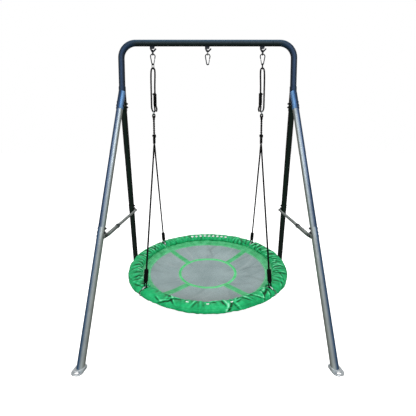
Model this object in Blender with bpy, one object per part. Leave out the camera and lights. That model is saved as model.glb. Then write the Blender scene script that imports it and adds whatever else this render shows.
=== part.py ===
"""Saucer nest swing on a steel A-frame stand.

Metres, +Z up. The origin is on the ground under the middle of the crossbar. X runs along the
crossbar, from left to right, and the seat swings along Y, from front to rear.
"""

import math

import bmesh
import bpy
from mathutils import Matrix, Vector

# Driving dimensions.
GAP = 0.0003
SEAT_RADIUS = 0.500
RIM_Z = 0.287
HANG_X = 0.337
BAR_Z = 1.686
APEX_Z = 1.400
TOP_HALF_WIDTH = 0.530
FOOT_HALF_WIDTH = 0.607
FOOT_HALF_DEPTH = 0.498

# Steel tube of the stand: each piece has one swaged end that slides into the next.
TUBE_R = 0.0190
TUBE_BORE_R = 0.0175
SWAGE_R = 0.0172
SWAGE_BORE_R = 0.0157
SWAGE_LENGTH = 0.062
TUBE_SIDES = 12
BAR_HALF_LENGTH = 0.397
CORNER_BEND_R = 0.090

# Welded V sockets under the corner elbows.
SOCKET_R = 0.0212
SOCKET_BORE_R = 0.0194
SOCKET_LENGTH = 0.125
SOCKET_BORE_START = 0.0600
SOCKET_COLLAR_TOP = 1.425
LEG_START = 0.0615
LEG_JOINT = 0.826

# Foot plates.
PLATE_THICKNESS = 0.005
PLATE_HALF_WIDTH = 0.0285
PLATE_FRONT = 0.044
PLATE_BACK = 0.024
PLATE_TIP_ROUND = 0.022
PLATE_HEEL_ROUND = 0.018
PLATE_HOLE_AT = 0.0300
PLATE_HOLE_HALF_LENGTH = 0.0070
PLATE_HOLE_HALF_WIDTH = 0.0110

# Side braces between the legs.
BRACE_Z = 0.578
BRACE_OUTER_R = 0.0110
BRACE_BORE_R = 0.0099
BRACE_INNER_R = 0.0095
BRACE_SEAM_Y = -0.110
BRACE_OVERLAP = 0.080
BRACE_SIDES = 12
BRACE_TAB_HALF = 0.0015
BRACE_AXIS_IN = 0.0095
COLLAR_R = 0.0135
COLLAR_FRONT = 0.012
COLLAR_REAR = 0.004

# Hangers: hook plate, swivel ring, snap hook.
HOOK_PLATE_HALF = 0.0035
HOOK_THROAT_R = 0.0045
HOOK_THROAT_Z = 1.6445
HOOK_WEB = 0.0080
HOOK_PRONG = 0.0180
LUG_HEIGHT_OVER_THROAT = 0.0070
LUG_RIGHT = 0.0120
LUG_LEFT = 0.0170
RING_R = 0.0145
RING_WIRE = 0.0025
RING_Z = 1.6297
SNAP_WIRE = 0.0032
SNAP_TOP_R = 0.0141
SNAP_TOP_Z = 1.6071
SNAP_LOW_R = 0.0062
SNAP_LOW_Z = 1.5642
GATE_WIRE = 0.0026
GATE_FROM = 0.12
GATE_PIVOT = 0.17
GATE_TO = 0.64
GATE_CLEARANCE = 0.03

# Ropes.
ROPE_R = 0.0045
LINK_WIRE = 0.0022
LINK_HALF_WIDTH = 0.0104
LINK_TOP_Z = 1.5642
LINK_LOW_Z = 1.5307
LINK_TURN = math.radians(68)
ADJUSTER_TOP = 1.3910
ADJUSTER_BOTTOM = 1.3085
ADJUSTER_R = 0.0095
ADJUSTER_IN = 0.0090
TAIL_R = 0.0040
EYE_RING_R = 0.0130
EYE_RING_WIRE = 0.0022
EYE_RING_Z = 1.2655
NECK_TOP = 1.240
NECK_BOTTOM = 1.0727
NECK_R = 0.0062
BIGHT_HALF_WIDTH = 0.0035
KNOT_Z = 1.123
KNOT_R = 0.0105
WRAP_R = 0.0072
SLEEVE_R = 0.0108
SLEEVE_FROM = 0.031
SLEEVE_TO = 0.097
EYE_HALF_WIDTH = 0.0108
EYE_SHOULDER = 0.021
EYE_SHOULDER_HALF = 0.0100
EYE_ROPE_R = 0.0034
STRAND_TOP_Y = 0.0052
STRAND_TOP_Z = NECK_BOTTOM - 0.0025

# Seat.
PAD_HALF_WIDTH = 0.045
PAD_HALF_HEIGHT = 0.026
RIM_TUBE_R = 0.0125
PAD_BORE_R = 0.0148
PAD_END_GAP = 0.022
PAD_END_SHARE = 0.74
CLIP_R = 0.0206
CLIP_WIRE = 0.0030
CLIP_Z = 0.2918
MAT_THICKNESS = 0.004
# The mat's edge hangs below the rim's centre line by the drop, and its middle below its edge by the sag.
MAT_DROP = 0.022
MAT_SAG = 0.044
MAT_CLEARANCE = 0.0015
# The seat's front hangs a little lower than its rear.
SEAT_TIP = math.radians(2.2)

RIM_R = SEAT_RADIUS - PAD_HALF_WIDTH
CLIP_Y = math.sqrt(RIM_R**2 - HANG_X**2)
EYE_LOW = CLIP_Z + CLIP_R - CLIP_WIRE - 4 * GAP - EYE_ROPE_R

# Joint axes.
SWING_Z = HOOK_THROAT_Z - HOOK_THROAT_R - HOOK_WEB / 2
SWAY_Z = RING_Z - RING_R
PITCH_Z = EYE_RING_Z + EYE_RING_R - EYE_RING_WIRE - GAP - ROPE_R
BIGHT_Z = EYE_RING_Z - EYE_RING_R

X_AXIS = Vector((1, 0, 0))
Y_AXIS = Vector((0, 1, 0))
Z_AXIS = Vector((0, 0, 1))

# sRGB colour, roughness, metallic.
FINISHES = {
    "slate_paint": ("2F4C5E", 0.38, 0.55),
    "silver_paint": ("8E9CA8", 0.32, 0.85),
    "dark_paint": ("17261F", 0.45, 0.40),
    "zinc": ("B3BABA", 0.34, 1.00),
    "dark_steel": ("3A3E42", 0.35, 1.00),
    "black_plastic": ("1A2226", 0.50, 0.00),
    "black_rope": ("0C0C0E", 0.90, 0.00),
    "green_cover": ("1FA65F", 0.62, 0.00),
    "grey_mat": ("93A3A3", 0.85, 0.00),
}


def clear_scene():
    for obj in list(bpy.data.objects):
        bpy.data.objects.remove(obj, do_unlink=True)


def linear(channel):
    """One sRGB channel, 0 to 1, as a linear value."""
    if channel <= 0.04045:
        return channel / 12.92
    return ((channel + 0.055) / 1.055) ** 2.4


def material(name, finish):
    code, roughness, metallic = FINISHES[finish]
    colour = [linear(int(code[i : i + 2], 16) / 255) for i in (0, 2, 4)]
    made = bpy.data.materials.new(name)
    made.use_nodes = True
    shader = made.node_tree.nodes["Principled BSDF"]
    shader.inputs["Base Color"].default_value = (*colour, 1.0)
    shader.inputs["Roughness"].default_value = roughness
    shader.inputs["Metallic"].default_value = metallic
    return made


def pivot(name, at, parent=None):
    """An empty on a joint's axis. The pieces that move with the joint are its children."""
    empty = bpy.data.objects.new(name, None)
    empty.empty_display_size = 0.02
    bpy.context.scene.collection.objects.link(empty)
    empty.parent = parent
    empty.location = Vector(at) - (place_of(parent) if parent else Vector())
    return empty


def place_of(obj):
    """World position of an empty, from its own and its parents' locations."""
    at = Vector(obj.location)
    while obj.parent:
        obj = obj.parent
        at += obj.location
    return at


def add_piece(name, bm, finish, parent):
    """Turns a bmesh in world coordinates into an object whose origin is its parent's pivot."""
    bmesh.ops.translate(bm, verts=bm.verts, vec=-place_of(parent))
    bmesh.ops.recalc_face_normals(bm, faces=bm.faces)
    mesh = bpy.data.meshes.new(name)
    bm.to_mesh(mesh)
    bm.free()
    mesh.shade_smooth()
    mesh.set_sharp_from_angle(angle=math.radians(40))
    mesh.materials.append(material(name, finish))
    obj = bpy.data.objects.new(name, mesh)
    obj.parent = parent
    bpy.context.scene.collection.objects.link(obj)
    return obj


def combine(obj, bm, operation):
    """Adds or cuts a hidden shape, given as a bmesh in world coordinates, with a Boolean modifier."""
    other = add_piece(f"{obj.name}_tool_{len(obj.modifiers)}", bm, "zinc", obj.parent)
    other.hide_render = True
    other.display_type = "WIRE"
    modifier = obj.modifiers.new(operation.lower(), "BOOLEAN")
    modifier.operation = operation
    modifier.object = other
    modifier.solver = "EXACT"


def ring(centre, u, v, half_u, half_v, sides):
    """A closed row of points on an ellipse."""
    turns = [2 * math.pi * (i + 0.5) / sides for i in range(sides)]
    return [centre + u * half_u * math.cos(a) + v * half_v * math.sin(a) for a in turns]


def loft(rings, closed=False):
    """Skins a row of rings that have equal counts. It is capped, or closed back onto its start."""
    bm = bmesh.new()
    rows = [[bm.verts.new(point) for point in row] for row in rings]
    pairs = list(zip(rows, rows[1:]))
    if closed:
        pairs.append((rows[-1], rows[0]))
    else:
        bm.faces.new(reversed(rows[0]))
        bm.faces.new(rows[-1])
    count = len(rows[0])
    for low, high in pairs:
        for i in range(count):
            j = (i + 1) % count
            bm.faces.new((low[i], low[j], high[j], high[i]))
    return bm


def directions(path, wrap=False):
    """Unit direction of travel at each point of a path."""
    count = len(path)
    found = []
    for i in range(count):
        ahead = path[(i + 1) % count] if wrap else path[min(i + 1, count - 1)]
        behind = path[i - 1] if wrap else path[max(i - 1, 0)]
        found.append((ahead - behind).normalized())
    return found


def rings_along(path, radii, normal, sides, wrap=False):
    """Round sections across a path that lies in the plane with this normal."""
    return [
        ring(point, normal, normal.cross(way), radius, radius, sides)
        for point, way, radius in zip(path, directions(path, wrap), radii)
    ]


def rod(path, radius, normal, sides):
    return loft(rings_along(path, [radius] * len(path), normal, sides))


def hoop(path, radius, normal, sides):
    return loft(rings_along(path, [radius] * len(path), normal, sides, wrap=True), closed=True)


def arc(centre, u, v, radius, start, end, steps):
    """Points on a circle from one angle to another, in degrees from u towards v."""
    turns = [math.radians(start + (end - start) * i / steps) for i in range(steps + 1)]
    return [centre + (u * math.cos(a) + v * math.sin(a)) * radius for a in turns]


def circle(centre, u, v, radius, steps):
    return arc(centre, u, v, radius, 0, 360, steps)[:-1]


def smooth(points, steps):
    """A Catmull-Rom curve through hand-placed points, with this many steps in each span."""
    ends = [2 * points[0] - points[1], *points, 2 * points[-1] - points[-2]]
    made = []
    for a, b, c, d in zip(ends, ends[1:], ends[2:], ends[3:]):
        for i in range(steps):
            t = i / steps
            made.append(
                0.5 * (2 * b + (c - a) * t + (2 * a - 5 * b + 4 * c - d) * t * t
                       + (3 * b - a - 3 * c + d) * t**3)
            )
    return [*made, points[-1]]


def turned(centre, profile, sides):
    """A solid turned round a vertical axis, from (height, radius) pairs."""
    return loft([
        ring(Vector((centre.x, centre.y, z)), X_AXIS, Y_AXIS, radius, radius, sides)
        for z, radius in profile
    ])


# Stand.


def crossbar(frame):
    ends = [Vector((x, 0, BAR_Z)) for x in (-BAR_HALF_LENGTH + GAP, BAR_HALF_LENGTH - GAP)]
    path = [*ends, ends[1], ends[0]]
    radii = [TUBE_R, TUBE_R, TUBE_BORE_R, TUBE_BORE_R]
    rings = [ring(point, Y_AXIS, Z_AXIS, r, r, TUBE_SIDES) for point, r in zip(path, radii)]
    add_piece("crossbar_tube", loft(rings, closed=True), "slate_paint", frame)


def corner_elbow(side, word, frame):
    """Swaged end, quarter bend and down tube, as one bent tube."""
    bend = Vector((TOP_HALF_WIDTH - CORNER_BEND_R, 0, BAR_Z - CORNER_BEND_R))
    curve = arc(bend, X_AXIS, Z_AXIS, CORNER_BEND_R, 90, 0, 8)
    inner_end = Vector((BAR_HALF_LENGTH - SWAGE_LENGTH, 0, BAR_Z))
    seam = Vector((BAR_HALF_LENGTH, 0, BAR_Z))
    low_end = Vector((TOP_HALF_WIDTH, 0, SOCKET_COLLAR_TOP + GAP))
    outer = [inner_end, seam, seam + X_AXIS * GAP, *curve, low_end]
    radii = [SWAGE_R, SWAGE_R] + [TUBE_R] * (len(outer) - 2)
    bore = [low_end, *reversed(curve), inner_end]
    rings = [*rings_along(outer, radii, Y_AXIS, TUBE_SIDES), *bore_rings(bore)]
    rings = [[Vector((side * p.x, p.y, p.z)) for p in row] for row in rings]
    add_piece(f"corner_elbow_{word}", loft(rings, closed=True), "slate_paint", frame)


def bore_rings(path):
    """Sections of the elbow's bore, in the same point order as its outer sections."""
    return [
        ring(point, Y_AXIS, Y_AXIS.cross(-way), SWAGE_BORE_R, SWAGE_BORE_R, TUBE_SIDES)
        for point, way in zip(path, directions(path))
    ]


def leg_line(side, end):
    """Apex of a leg and its unit direction down to the foot."""
    apex = Vector((side * TOP_HALF_WIDTH, 0, APEX_Z))
    foot = Vector((side * FOOT_HALF_WIDTH, end * FOOT_HALF_DEPTH, 0))
    return apex, (foot - apex).normalized()


def sections(start, way, stations):
    """Round sections across a line, from (distance along it, radius) pairs."""
    across = way.cross(X_AXIS).normalized()
    up = across.cross(way)
    return [ring(start + way * s, across, up, r, r, TUBE_SIDES) for s, r in stations]


def leg_socket(side, word, frame):
    """Two sleeves that spread from a short collar under the elbow."""
    collar = turned(
        Vector((side * TOP_HALF_WIDTH, 0, 0)),
        [(APEX_Z - 0.020, SOCKET_R), (SOCKET_COLLAR_TOP, SOCKET_R)],
        TUBE_SIDES,
    )
    socket = add_piece(f"leg_socket_{word}", collar, "slate_paint", frame)
    for end in (-1, 1):
        apex, way = leg_line(side, end)
        sleeve = loft(sections(apex, way, [(0.004, SOCKET_R), (SOCKET_LENGTH, SOCKET_R)]))
        combine(socket, sleeve, "UNION")
    for end in (-1, 1):
        apex, way = leg_line(side, end)
        stations = [(SOCKET_BORE_START, SOCKET_BORE_R), (SOCKET_LENGTH + 0.02, SOCKET_BORE_R)]
        combine(socket, loft(sections(apex, way, stations)), "DIFFERENCE")


def leg_upper(side, end, words, finish, frame):
    """Plain at the socket, swaged where it slides into the lower leg."""
    apex, way = leg_line(side, end)
    swage_end = LEG_JOINT + SWAGE_LENGTH
    stations = [
        (LEG_START, TUBE_R),
        (LEG_JOINT - GAP, TUBE_R),
        (LEG_JOINT, SWAGE_R),
        (swage_end, SWAGE_R),
        (swage_end, SWAGE_BORE_R),
        (LEG_START, SWAGE_BORE_R),
    ]
    rings = sections(apex, way, stations)
    add_piece(f"leg_upper_{words}", loft(rings, closed=True), finish, frame)


def leg_lower(side, end, words, finish, frame):
    """Its lower end is cut level and stands on the foot plate."""
    apex, way = leg_line(side, end)
    top = LEG_JOINT + GAP
    outer, bore = sections(apex, way, [(top, TUBE_R), (top, TUBE_BORE_R)])
    level = PLATE_THICKNESS + GAP
    cut_outer, cut_bore = (
        [point + way * ((level - point.z) / way.z) for point in row] for row in (outer, bore)
    )
    rings = [outer, cut_outer, cut_bore, bore]
    add_piece(f"leg_lower_{words}", loft(rings, closed=True), finish, frame)


def plate_outline():
    """Corners of the foot plate, rounder at its outer end: (outward, sideways) pairs."""
    tip, heel = PLATE_TIP_ROUND, PLATE_HEEL_ROUND
    corners = (
        (PLATE_FRONT - tip, PLATE_HALF_WIDTH - tip, tip, 0, 6),
        (heel - PLATE_BACK, PLATE_HALF_WIDTH - heel, heel, 90, 4),
        (heel - PLATE_BACK, heel - PLATE_HALF_WIDTH, heel, 180, 4),
        (PLATE_FRONT - tip, tip - PLATE_HALF_WIDTH, tip, 270, 6),
    )
    points = []
    for u, v, radius, start, steps in corners:
        turns = [math.radians(start + 90 * i / steps) for i in range(steps + 1)]
        points += [(u + radius * math.cos(a), v + radius * math.sin(a)) for a in turns]
    return points


def foot_plate(side, end, words, frame):
    """A flat plate under the leg, with an oval hole for a ground anchor ahead of the tube."""
    foot = Vector((side * FOOT_HALF_WIDTH, end * FOOT_HALF_DEPTH, 0))
    apex = Vector((side * TOP_HALF_WIDTH, 0, 0))
    outward = (foot - apex).normalized()
    sideways = Z_AXIS.cross(outward)
    outline = plate_outline()
    hole = []
    for u, v in outline:
        angle = math.atan2(v, u - PLATE_HOLE_AT)
        hole_u = PLATE_HOLE_AT + PLATE_HOLE_HALF_LENGTH * math.cos(angle)
        hole.append((hole_u, PLATE_HOLE_HALF_WIDTH * math.sin(angle)))
    rings = []
    for points, z in ((outline, 0), (outline, PLATE_THICKNESS), (hole, PLATE_THICKNESS), (hole, 0)):
        rings.append([foot + outward * u + sideways * v + Z_AXIS * z for u, v in points])
    add_piece(f"foot_plate_{words}", loft(rings, closed=True), "zinc", frame)


def brace_places(side):
    """Brace axis X beside the legs, X of its flattened tabs, and Y of the legs at brace height."""
    share = (APEX_Z - BRACE_Z) / APEX_Z
    leg_x = TOP_HALF_WIDTH + (FOOT_HALF_WIDTH - TOP_HALF_WIDTH) * share
    tab_x = leg_x - TUBE_R - BRACE_TAB_HALF - 2 * GAP
    return side * (tab_x - BRACE_AXIS_IN), side * tab_x, FOOT_HALF_DEPTH * share


def brace_rings(side, end, radius):
    """Sections from a flattened tab at one leg to the round tube."""
    axis_x, tab_x, leg_y = brace_places(side)
    stations = (
        (leg_y + 0.013, tab_x, BRACE_TAB_HALF * 0.8, 0.008),
        (leg_y + 0.008, tab_x, BRACE_TAB_HALF, 0.013),
        (leg_y - 0.015, tab_x, BRACE_TAB_HALF, 0.014),
        (leg_y - 0.040, axis_x, radius, radius),
    )
    return [
        ring(Vector((x, end * y, BRACE_Z)), X_AXIS, Z_AXIS, half_x, half_z, BRACE_SIDES)
        for y, x, half_x, half_z in stations
    ]


def brace(side, word, frame):
    """Two tubes that telescope, with a collar where the outer one ends."""
    axis_x = brace_places(side)[0]

    def section(y, radius):
        return ring(Vector((axis_x, y, BRACE_Z)), X_AXIS, Z_AXIS, radius, radius, BRACE_SIDES)

    inner_end = BRACE_SEAM_Y - BRACE_OVERLAP
    outer = brace_rings(side, -1, BRACE_OUTER_R)
    outer.append(section(BRACE_SEAM_Y, BRACE_OUTER_R))
    outer.append(section(BRACE_SEAM_Y, BRACE_BORE_R))
    outer.append(section(inner_end - 0.004, BRACE_BORE_R))
    add_piece(f"brace_front_{word}", loft(outer), "zinc", frame)
    inner = brace_rings(side, 1, BRACE_INNER_R)
    inner.append(section(inner_end, BRACE_INNER_R))
    add_piece(f"brace_rear_{word}", loft(inner), "zinc", frame)
    front, rear = BRACE_SEAM_Y - COLLAR_FRONT, BRACE_SEAM_Y + COLLAR_REAR
    bore = BRACE_OUTER_R + GAP
    stations = ((front, COLLAR_R), (rear, COLLAR_R), (rear, bore), (front, bore))
    collar = [section(y, radius) for y, radius in stations]
    add_piece(f"brace_collar_{word}", loft(collar, closed=True), "black_plastic", frame)


# Hangers.


def hook_outline():
    """The hook plate's edge in X and Z: lug, shank, round throat and a prong that opens to +X."""
    throat = Vector((0, 0, HOOK_THROAT_Z))
    outside = arc(throat, X_AXIS, Z_AXIS, HOOK_THROAT_R + HOOK_WEB, 215, 315, 8)
    inside = arc(throat, X_AXIS, Z_AXIS, HOOK_THROAT_R, 315, 180, 8)
    prong = (X_AXIS + Z_AXIS).normalized() * HOOK_PRONG
    lug_top = BAR_Z - TUBE_R - GAP
    lug_low = HOOK_THROAT_Z + LUG_HEIGHT_OVER_THROAT
    lug = (
        (-HOOK_THROAT_R, lug_low),
        (LUG_RIGHT - 0.002, lug_low + 0.001),
        (LUG_RIGHT, lug_top),
        (-LUG_LEFT, lug_top),
        (-LUG_LEFT, lug_low),
    )
    tip = [outside[-1] + prong, inside[0] + prong * 0.97]
    return [*outside, *tip, *inside, *(Vector((x, 0, z)) for x, z in lug)]


def hanger_hook(x, word, frame):
    rings = []
    for y in (-HOOK_PLATE_HALF, HOOK_PLATE_HALF):
        rings.append([p + Vector((x, y, 0)) for p in hook_outline()])
    add_piece(f"hanger_hook_{word}", loft(rings), "slate_paint", frame)


def swivel_ring(x, word, parent):
    centre = Vector((x, 0, RING_Z))
    path = circle(centre, Y_AXIS, Z_AXIS, RING_R, 16)
    add_piece(f"swivel_ring_{word}", hoop(path, RING_WIRE, X_AXIS, 6), "dark_steel", parent)


def snap_side(facing):
    """Lower and upper end of the straight side of the snap hook that holds the gate."""
    lean = math.asin((SNAP_TOP_R - SNAP_LOW_R) / (SNAP_TOP_Z - SNAP_LOW_Z))
    out = Vector((facing * math.cos(lean), 0, -math.sin(lean)))
    low = Vector((0, 0, SNAP_LOW_Z)) + out * SNAP_LOW_R
    high = Vector((0, 0, SNAP_TOP_Z)) + out * SNAP_TOP_R
    return low, high, math.degrees(lean)


def snap_hook(x, facing, word, parent):
    """Pear-shaped hook, wide end up, open on one side where the gate sits."""
    low, high, lean = snap_side(facing)
    across = X_AXIS * facing
    path = [low.lerp(high, GATE_TO + GATE_CLEARANCE)]
    path += arc(Vector((0, 0, SNAP_TOP_Z)), across, Z_AXIS, SNAP_TOP_R, -lean, 180 + lean, 12)
    path += arc(Vector((0, 0, SNAP_LOW_Z)), across, Z_AXIS, SNAP_LOW_R, 180 + lean, 360 - lean, 8)
    path.append(low.lerp(high, GATE_FROM - GATE_CLEARANCE))
    path = [p + X_AXIS * x for p in path]
    add_piece(f"snap_hook_{word}", rod(path, SNAP_WIRE, Y_AXIS, 8), "dark_steel", parent)


def gate_pivot(x, facing):
    low, high, _ = snap_side(facing)
    return low.lerp(high, GATE_PIVOT) + X_AXIS * x


def snap_gate(x, facing, word, parent):
    """Straight gate with tapered ends, hinged at its lower end."""
    low, high, _ = snap_side(facing)
    shares = (GATE_FROM, GATE_PIVOT, GATE_TO - 0.04, GATE_TO)
    radii = (GATE_WIRE * 0.5, GATE_WIRE, GATE_WIRE, GATE_WIRE * 0.6)
    path = [low.lerp(high, share) + X_AXIS * x for share in shares]
    add_piece(f"snap_gate_{word}", loft(rings_along(path, radii, Y_AXIS, 8)), "zinc", parent)


# Ropes. Places are given as (towards the middle of the swing, height) from the hanging line.


def hung(side, points):
    return [Vector((side * (HANG_X - inward), 0, z)) for inward, z in points]


def oval_link(side, word, parent):
    """Stadium-shaped link, turned so that it passes through both the snap hook and the rope."""
    x = side * HANG_X
    across = Vector((math.cos(LINK_TURN), math.sin(LINK_TURN), 0))
    top = Vector((x, 0, LINK_TOP_Z - LINK_HALF_WIDTH))
    low = Vector((x, 0, LINK_LOW_Z + LINK_HALF_WIDTH))
    path = arc(top, across, Z_AXIS, LINK_HALF_WIDTH, 0, 180, 8)
    path += arc(low, across, Z_AXIS, LINK_HALF_WIDTH, 180, 360, 8)
    wire = hoop(path, LINK_WIRE, across.cross(Z_AXIS), 6)
    add_piece(f"oval_link_{word}", wire, "dark_steel", parent)


def rope_loop(side, word, parent):
    """Adjustable loop: from the adjuster over the link, down, through the eye ring and back up."""
    rope_top = LINK_LOW_Z + LINK_WIRE + 3 * GAP + ROPE_R
    route = (
        (0.0090, ADJUSTER_TOP + 2 * GAP),
        (0.0092, 1.4300),
        (0.0108, 1.4800),
        (0.0112, 1.5120),
        (0.0096, 1.5290),
        (0.0060, 1.5360),
        (0.0000, rope_top),
        (-0.0064, 1.5358),
        (-0.0102, 1.5285),
        (-0.0128, 1.5080),
        (-0.0138, 1.4600),
        (-0.0134, 1.3800),
        (-0.0130, 1.3100),
        (-0.0116, 1.2920),
        (-0.0082, 1.2800),
        (-0.0052, 1.2735),
        (0.0000, PITCH_Z),
        (0.0052, 1.2735),
        (0.0076, 1.2800),
        (0.0064, 1.2940),
        (0.0050, ADJUSTER_BOTTOM - 3 * GAP),
    )
    path = smooth(hung(side, route), 2)
    add_piece(f"rope_loop_{word}", rod(path, ROPE_R, Y_AXIS, 8), "black_rope", parent)


def rope_adjuster(side, word, parent):
    """Wrapped slide knot with the rope's tail curling out of its lower end."""
    centre = hung(side, [(ADJUSTER_IN, 0)])[0]
    shape = [
        (ADJUSTER_BOTTOM, 0.0070),
        (ADJUSTER_BOTTOM + 0.004, ADJUSTER_R),
        (ADJUSTER_TOP - 0.010, ADJUSTER_R),
        (ADJUSTER_TOP, 0.0062),
    ]
    knot = add_piece(f"rope_adjuster_{word}", turned(centre, shape, 12), "black_rope", parent)
    tail = (
        (0.0145, 1.3200),
        (0.0150, 1.3060),
        (0.0178, 1.2960),
        (0.0188, 1.2860),
        (0.0165, 1.2770),
    )
    combine(knot, rod(smooth(hung(side, tail), 3), TAIL_R, Y_AXIS, 8), "UNION")


def eye_ring(side, word, parent):
    centre = Vector((side * HANG_X, 0, EYE_RING_Z))
    path = circle(centre, Y_AXIS, Z_AXIS, EYE_RING_R, 16)
    add_piece(f"eye_ring_{word}", hoop(path, EYE_RING_WIRE, X_AXIS, 6), "zinc", parent)


def rope_neck(side, word, parent):
    """Doubled rope under the eye ring, its knot and the whipping that gathers the two strands."""
    centre = Vector((side * HANG_X, 0, 0))
    bight_r = EYE_RING_WIRE + GAP + ROPE_R + 0.0001
    shape = [
        (NECK_BOTTOM, WRAP_R * 0.92),
        (NECK_BOTTOM + 0.003, WRAP_R),
        (KNOT_Z - KNOT_R * 0.95, WRAP_R),
        (KNOT_Z - KNOT_R * 0.5, KNOT_R * 0.95),
        (KNOT_Z + KNOT_R * 0.4, KNOT_R),
        (KNOT_Z + KNOT_R * 0.95, NECK_R),
        (NECK_TOP - 0.006, NECK_R),
        (NECK_TOP, NECK_R * 0.8),
    ]
    neck = add_piece(f"rope_neck_{word}", turned(centre, shape, 12), "black_rope", parent)
    over = arc(centre + Z_AXIS * BIGHT_Z, X_AXIS, Z_AXIS, bight_r, 0, 180, 8)
    low_ends = [
        centre + Vector((x, 0, NECK_TOP - 0.007)) for x in (BIGHT_HALF_WIDTH, -BIGHT_HALF_WIDTH)
    ]
    combine(neck, rod([low_ends[0], *over, low_ends[1]], ROPE_R, Y_AXIS, 8), "UNION")


def tipped(point):
    """Where a point of the level seat lies once the seat is tipped about its middle, from left to right."""
    middle = Vector((0, 0, RIM_Z))
    return middle + Matrix.Rotation(SEAT_TIP, 3, "X") @ (Vector(point) - middle)


def tip_over(bm):
    """Tips a piece that was made on the level seat."""
    for vert in bm.verts:
        vert.co = tipped(vert.co)
    return bm


def strand_line(side, end):
    """Foot of a strand, where it passes through its rim clip, and the direction up to the neck."""
    low = tipped((side * HANG_X, end * CLIP_Y, EYE_LOW))
    high = Vector((side * HANG_X, end * STRAND_TOP_Y, STRAND_TOP_Z))
    return low, high, (high - low).normalized()


def rim_tangent(side, end):
    out = Vector((side * HANG_X, end * CLIP_Y, 0)).normalized()
    return out, Z_AXIS.cross(out)


def rope_strand(side, end, words, parent):
    """Straight rope with a sleeve over its splice and an eye through the rim clip."""
    low, high, way = strand_line(side, end)
    length = (high - low).length
    stations = (
        (SLEEVE_FROM, 0.0070),
        (SLEEVE_FROM + 0.003, SLEEVE_R),
        (SLEEVE_TO - 0.004, SLEEVE_R),
        (SLEEVE_TO, 0.0065),
        (SLEEVE_TO + 0.001, ROPE_R),
        (length, ROPE_R),
    )
    path = [low + way * s for s, _ in stations]
    rings = rings_along(path, [r for _, r in stations], X_AXIS, 8)
    strand = add_piece(f"rope_strand_{words}", loft(rings), "black_rope", parent)
    tangent = Matrix.Rotation(SEAT_TIP, 3, "X") @ rim_tangent(side, end)[1]
    wide = (tangent - way * tangent.dot(way)).normalized()
    turn = low + way * EYE_HALF_WIDTH
    shoulder = low + way * EYE_SHOULDER
    inside = low + way * (SLEEVE_FROM + 0.006)
    eye = [
        inside - wide * BIGHT_HALF_WIDTH,
        shoulder - wide * EYE_SHOULDER_HALF,
        *arc(turn, wide, way, EYE_HALF_WIDTH, 180, 360, 8),
        shoulder + wide * EYE_SHOULDER_HALF,
        inside + wide * BIGHT_HALF_WIDTH,
    ]
    combine(strand, rod(eye, EYE_ROPE_R, wide.cross(way), 8), "UNION")


# Seat.


def rim_clip(side, end, words, parent):
    """Steel ring round the rim tube that carries the eye of one strand."""
    out, tangent = rim_tangent(side, end)
    centre = Vector((side * HANG_X, end * CLIP_Y, CLIP_Z))
    path = circle(centre, out, Z_AXIS, CLIP_R, 16)
    clip = tip_over(hoop(path, CLIP_WIRE, tangent, 8))
    add_piece(f"rim_clip_{words}", clip, "zinc", parent)


def rim_tube(parent):
    centre = Vector((0, 0, RIM_Z))
    path = circle(centre, X_AXIS, Y_AXIS, RIM_R, 48)
    add_piece("rim_tube", tip_over(hoop(path, RIM_TUBE_R, Z_AXIS, 8)), "zinc", parent)


def rim_pad(start, end, word, parent):
    """Padded cover over one stretch of the rim tube, gathered in at both of its ends."""
    steps = 10
    margin = math.degrees(PAD_END_GAP / RIM_R)
    start, end = start + margin, end - margin
    outer = []
    bore = []
    for i in range(steps + 1):
        angle = math.radians(start + (end - start) * i / steps)
        out = Vector((math.cos(angle), math.sin(angle), 0))
        centre = out * RIM_R + Z_AXIS * RIM_Z
        share = PAD_END_SHARE if i in (0, steps) else 1.0
        half_width, half_height = PAD_HALF_WIDTH * share, PAD_HALF_HEIGHT * share
        outer.append(ring(centre, out, Z_AXIS, half_width, half_height, 12))
        bore.append(ring(centre, out, Z_AXIS, PAD_BORE_R, PAD_BORE_R, 12))
    pad = loft([*outer, *reversed(bore)], closed=True)
    add_piece(f"rim_pad_{word}", tip_over(pad), "green_cover", parent)


def seat_mat(parent):
    """Dished disc of mesh fabric that fills the rim."""
    edge = RIM_R - PAD_HALF_WIDTH - MAT_CLEARANCE
    shares = (0.02, 0.35, 0.65, 0.88, 1.0)
    upper = [(share * edge, RIM_Z - MAT_DROP - MAT_SAG * (1 - share**2)) for share in shares]
    profile = [(r, z + MAT_THICKNESS / 2) for r, z in upper]
    profile += [(r, z - MAT_THICKNESS / 2) for r, z in reversed(upper)]
    rings = [ring(Vector((0, 0, z)), X_AXIS, Y_AXIS, r, r, 40) for r, z in profile]
    add_piece("seat_mat", tip_over(loft(rings)), "grey_mat", parent)


SIDES = ((-1, "left"), (1, "right"))
ENDS = ((-1, "front", "silver_paint"), (1, "rear", "dark_paint"))


def stand():
    frame = pivot("frame_origin", (0, 0, 0))
    crossbar(frame)
    for side, word in SIDES:
        corner_elbow(side, word, frame)
        leg_socket(side, word, frame)
        brace(side, word, frame)
        for end, end_word, finish in ENDS:
            words = f"{end_word}_{word}"
            leg_upper(side, end, words, finish, frame)
            leg_lower(side, end, words, finish, frame)
            foot_plate(side, end, words, frame)
    for x, word in ((-HANG_X, "left"), (0, "middle"), (HANG_X, "right")):
        hanger_hook(x, word, frame)
    return frame


def hanger(x, facing, word, swing, hook_parent):
    """Swivel ring, snap hook and gate. Only the middle snap hook has a pivot of its own."""
    swivel_ring(x, word, swing)
    snap_hook(x, facing, word, hook_parent)
    gate = pivot(f"gate_{word}", gate_pivot(x, facing), hook_parent)
    snap_gate(x, facing, word, gate)


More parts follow.
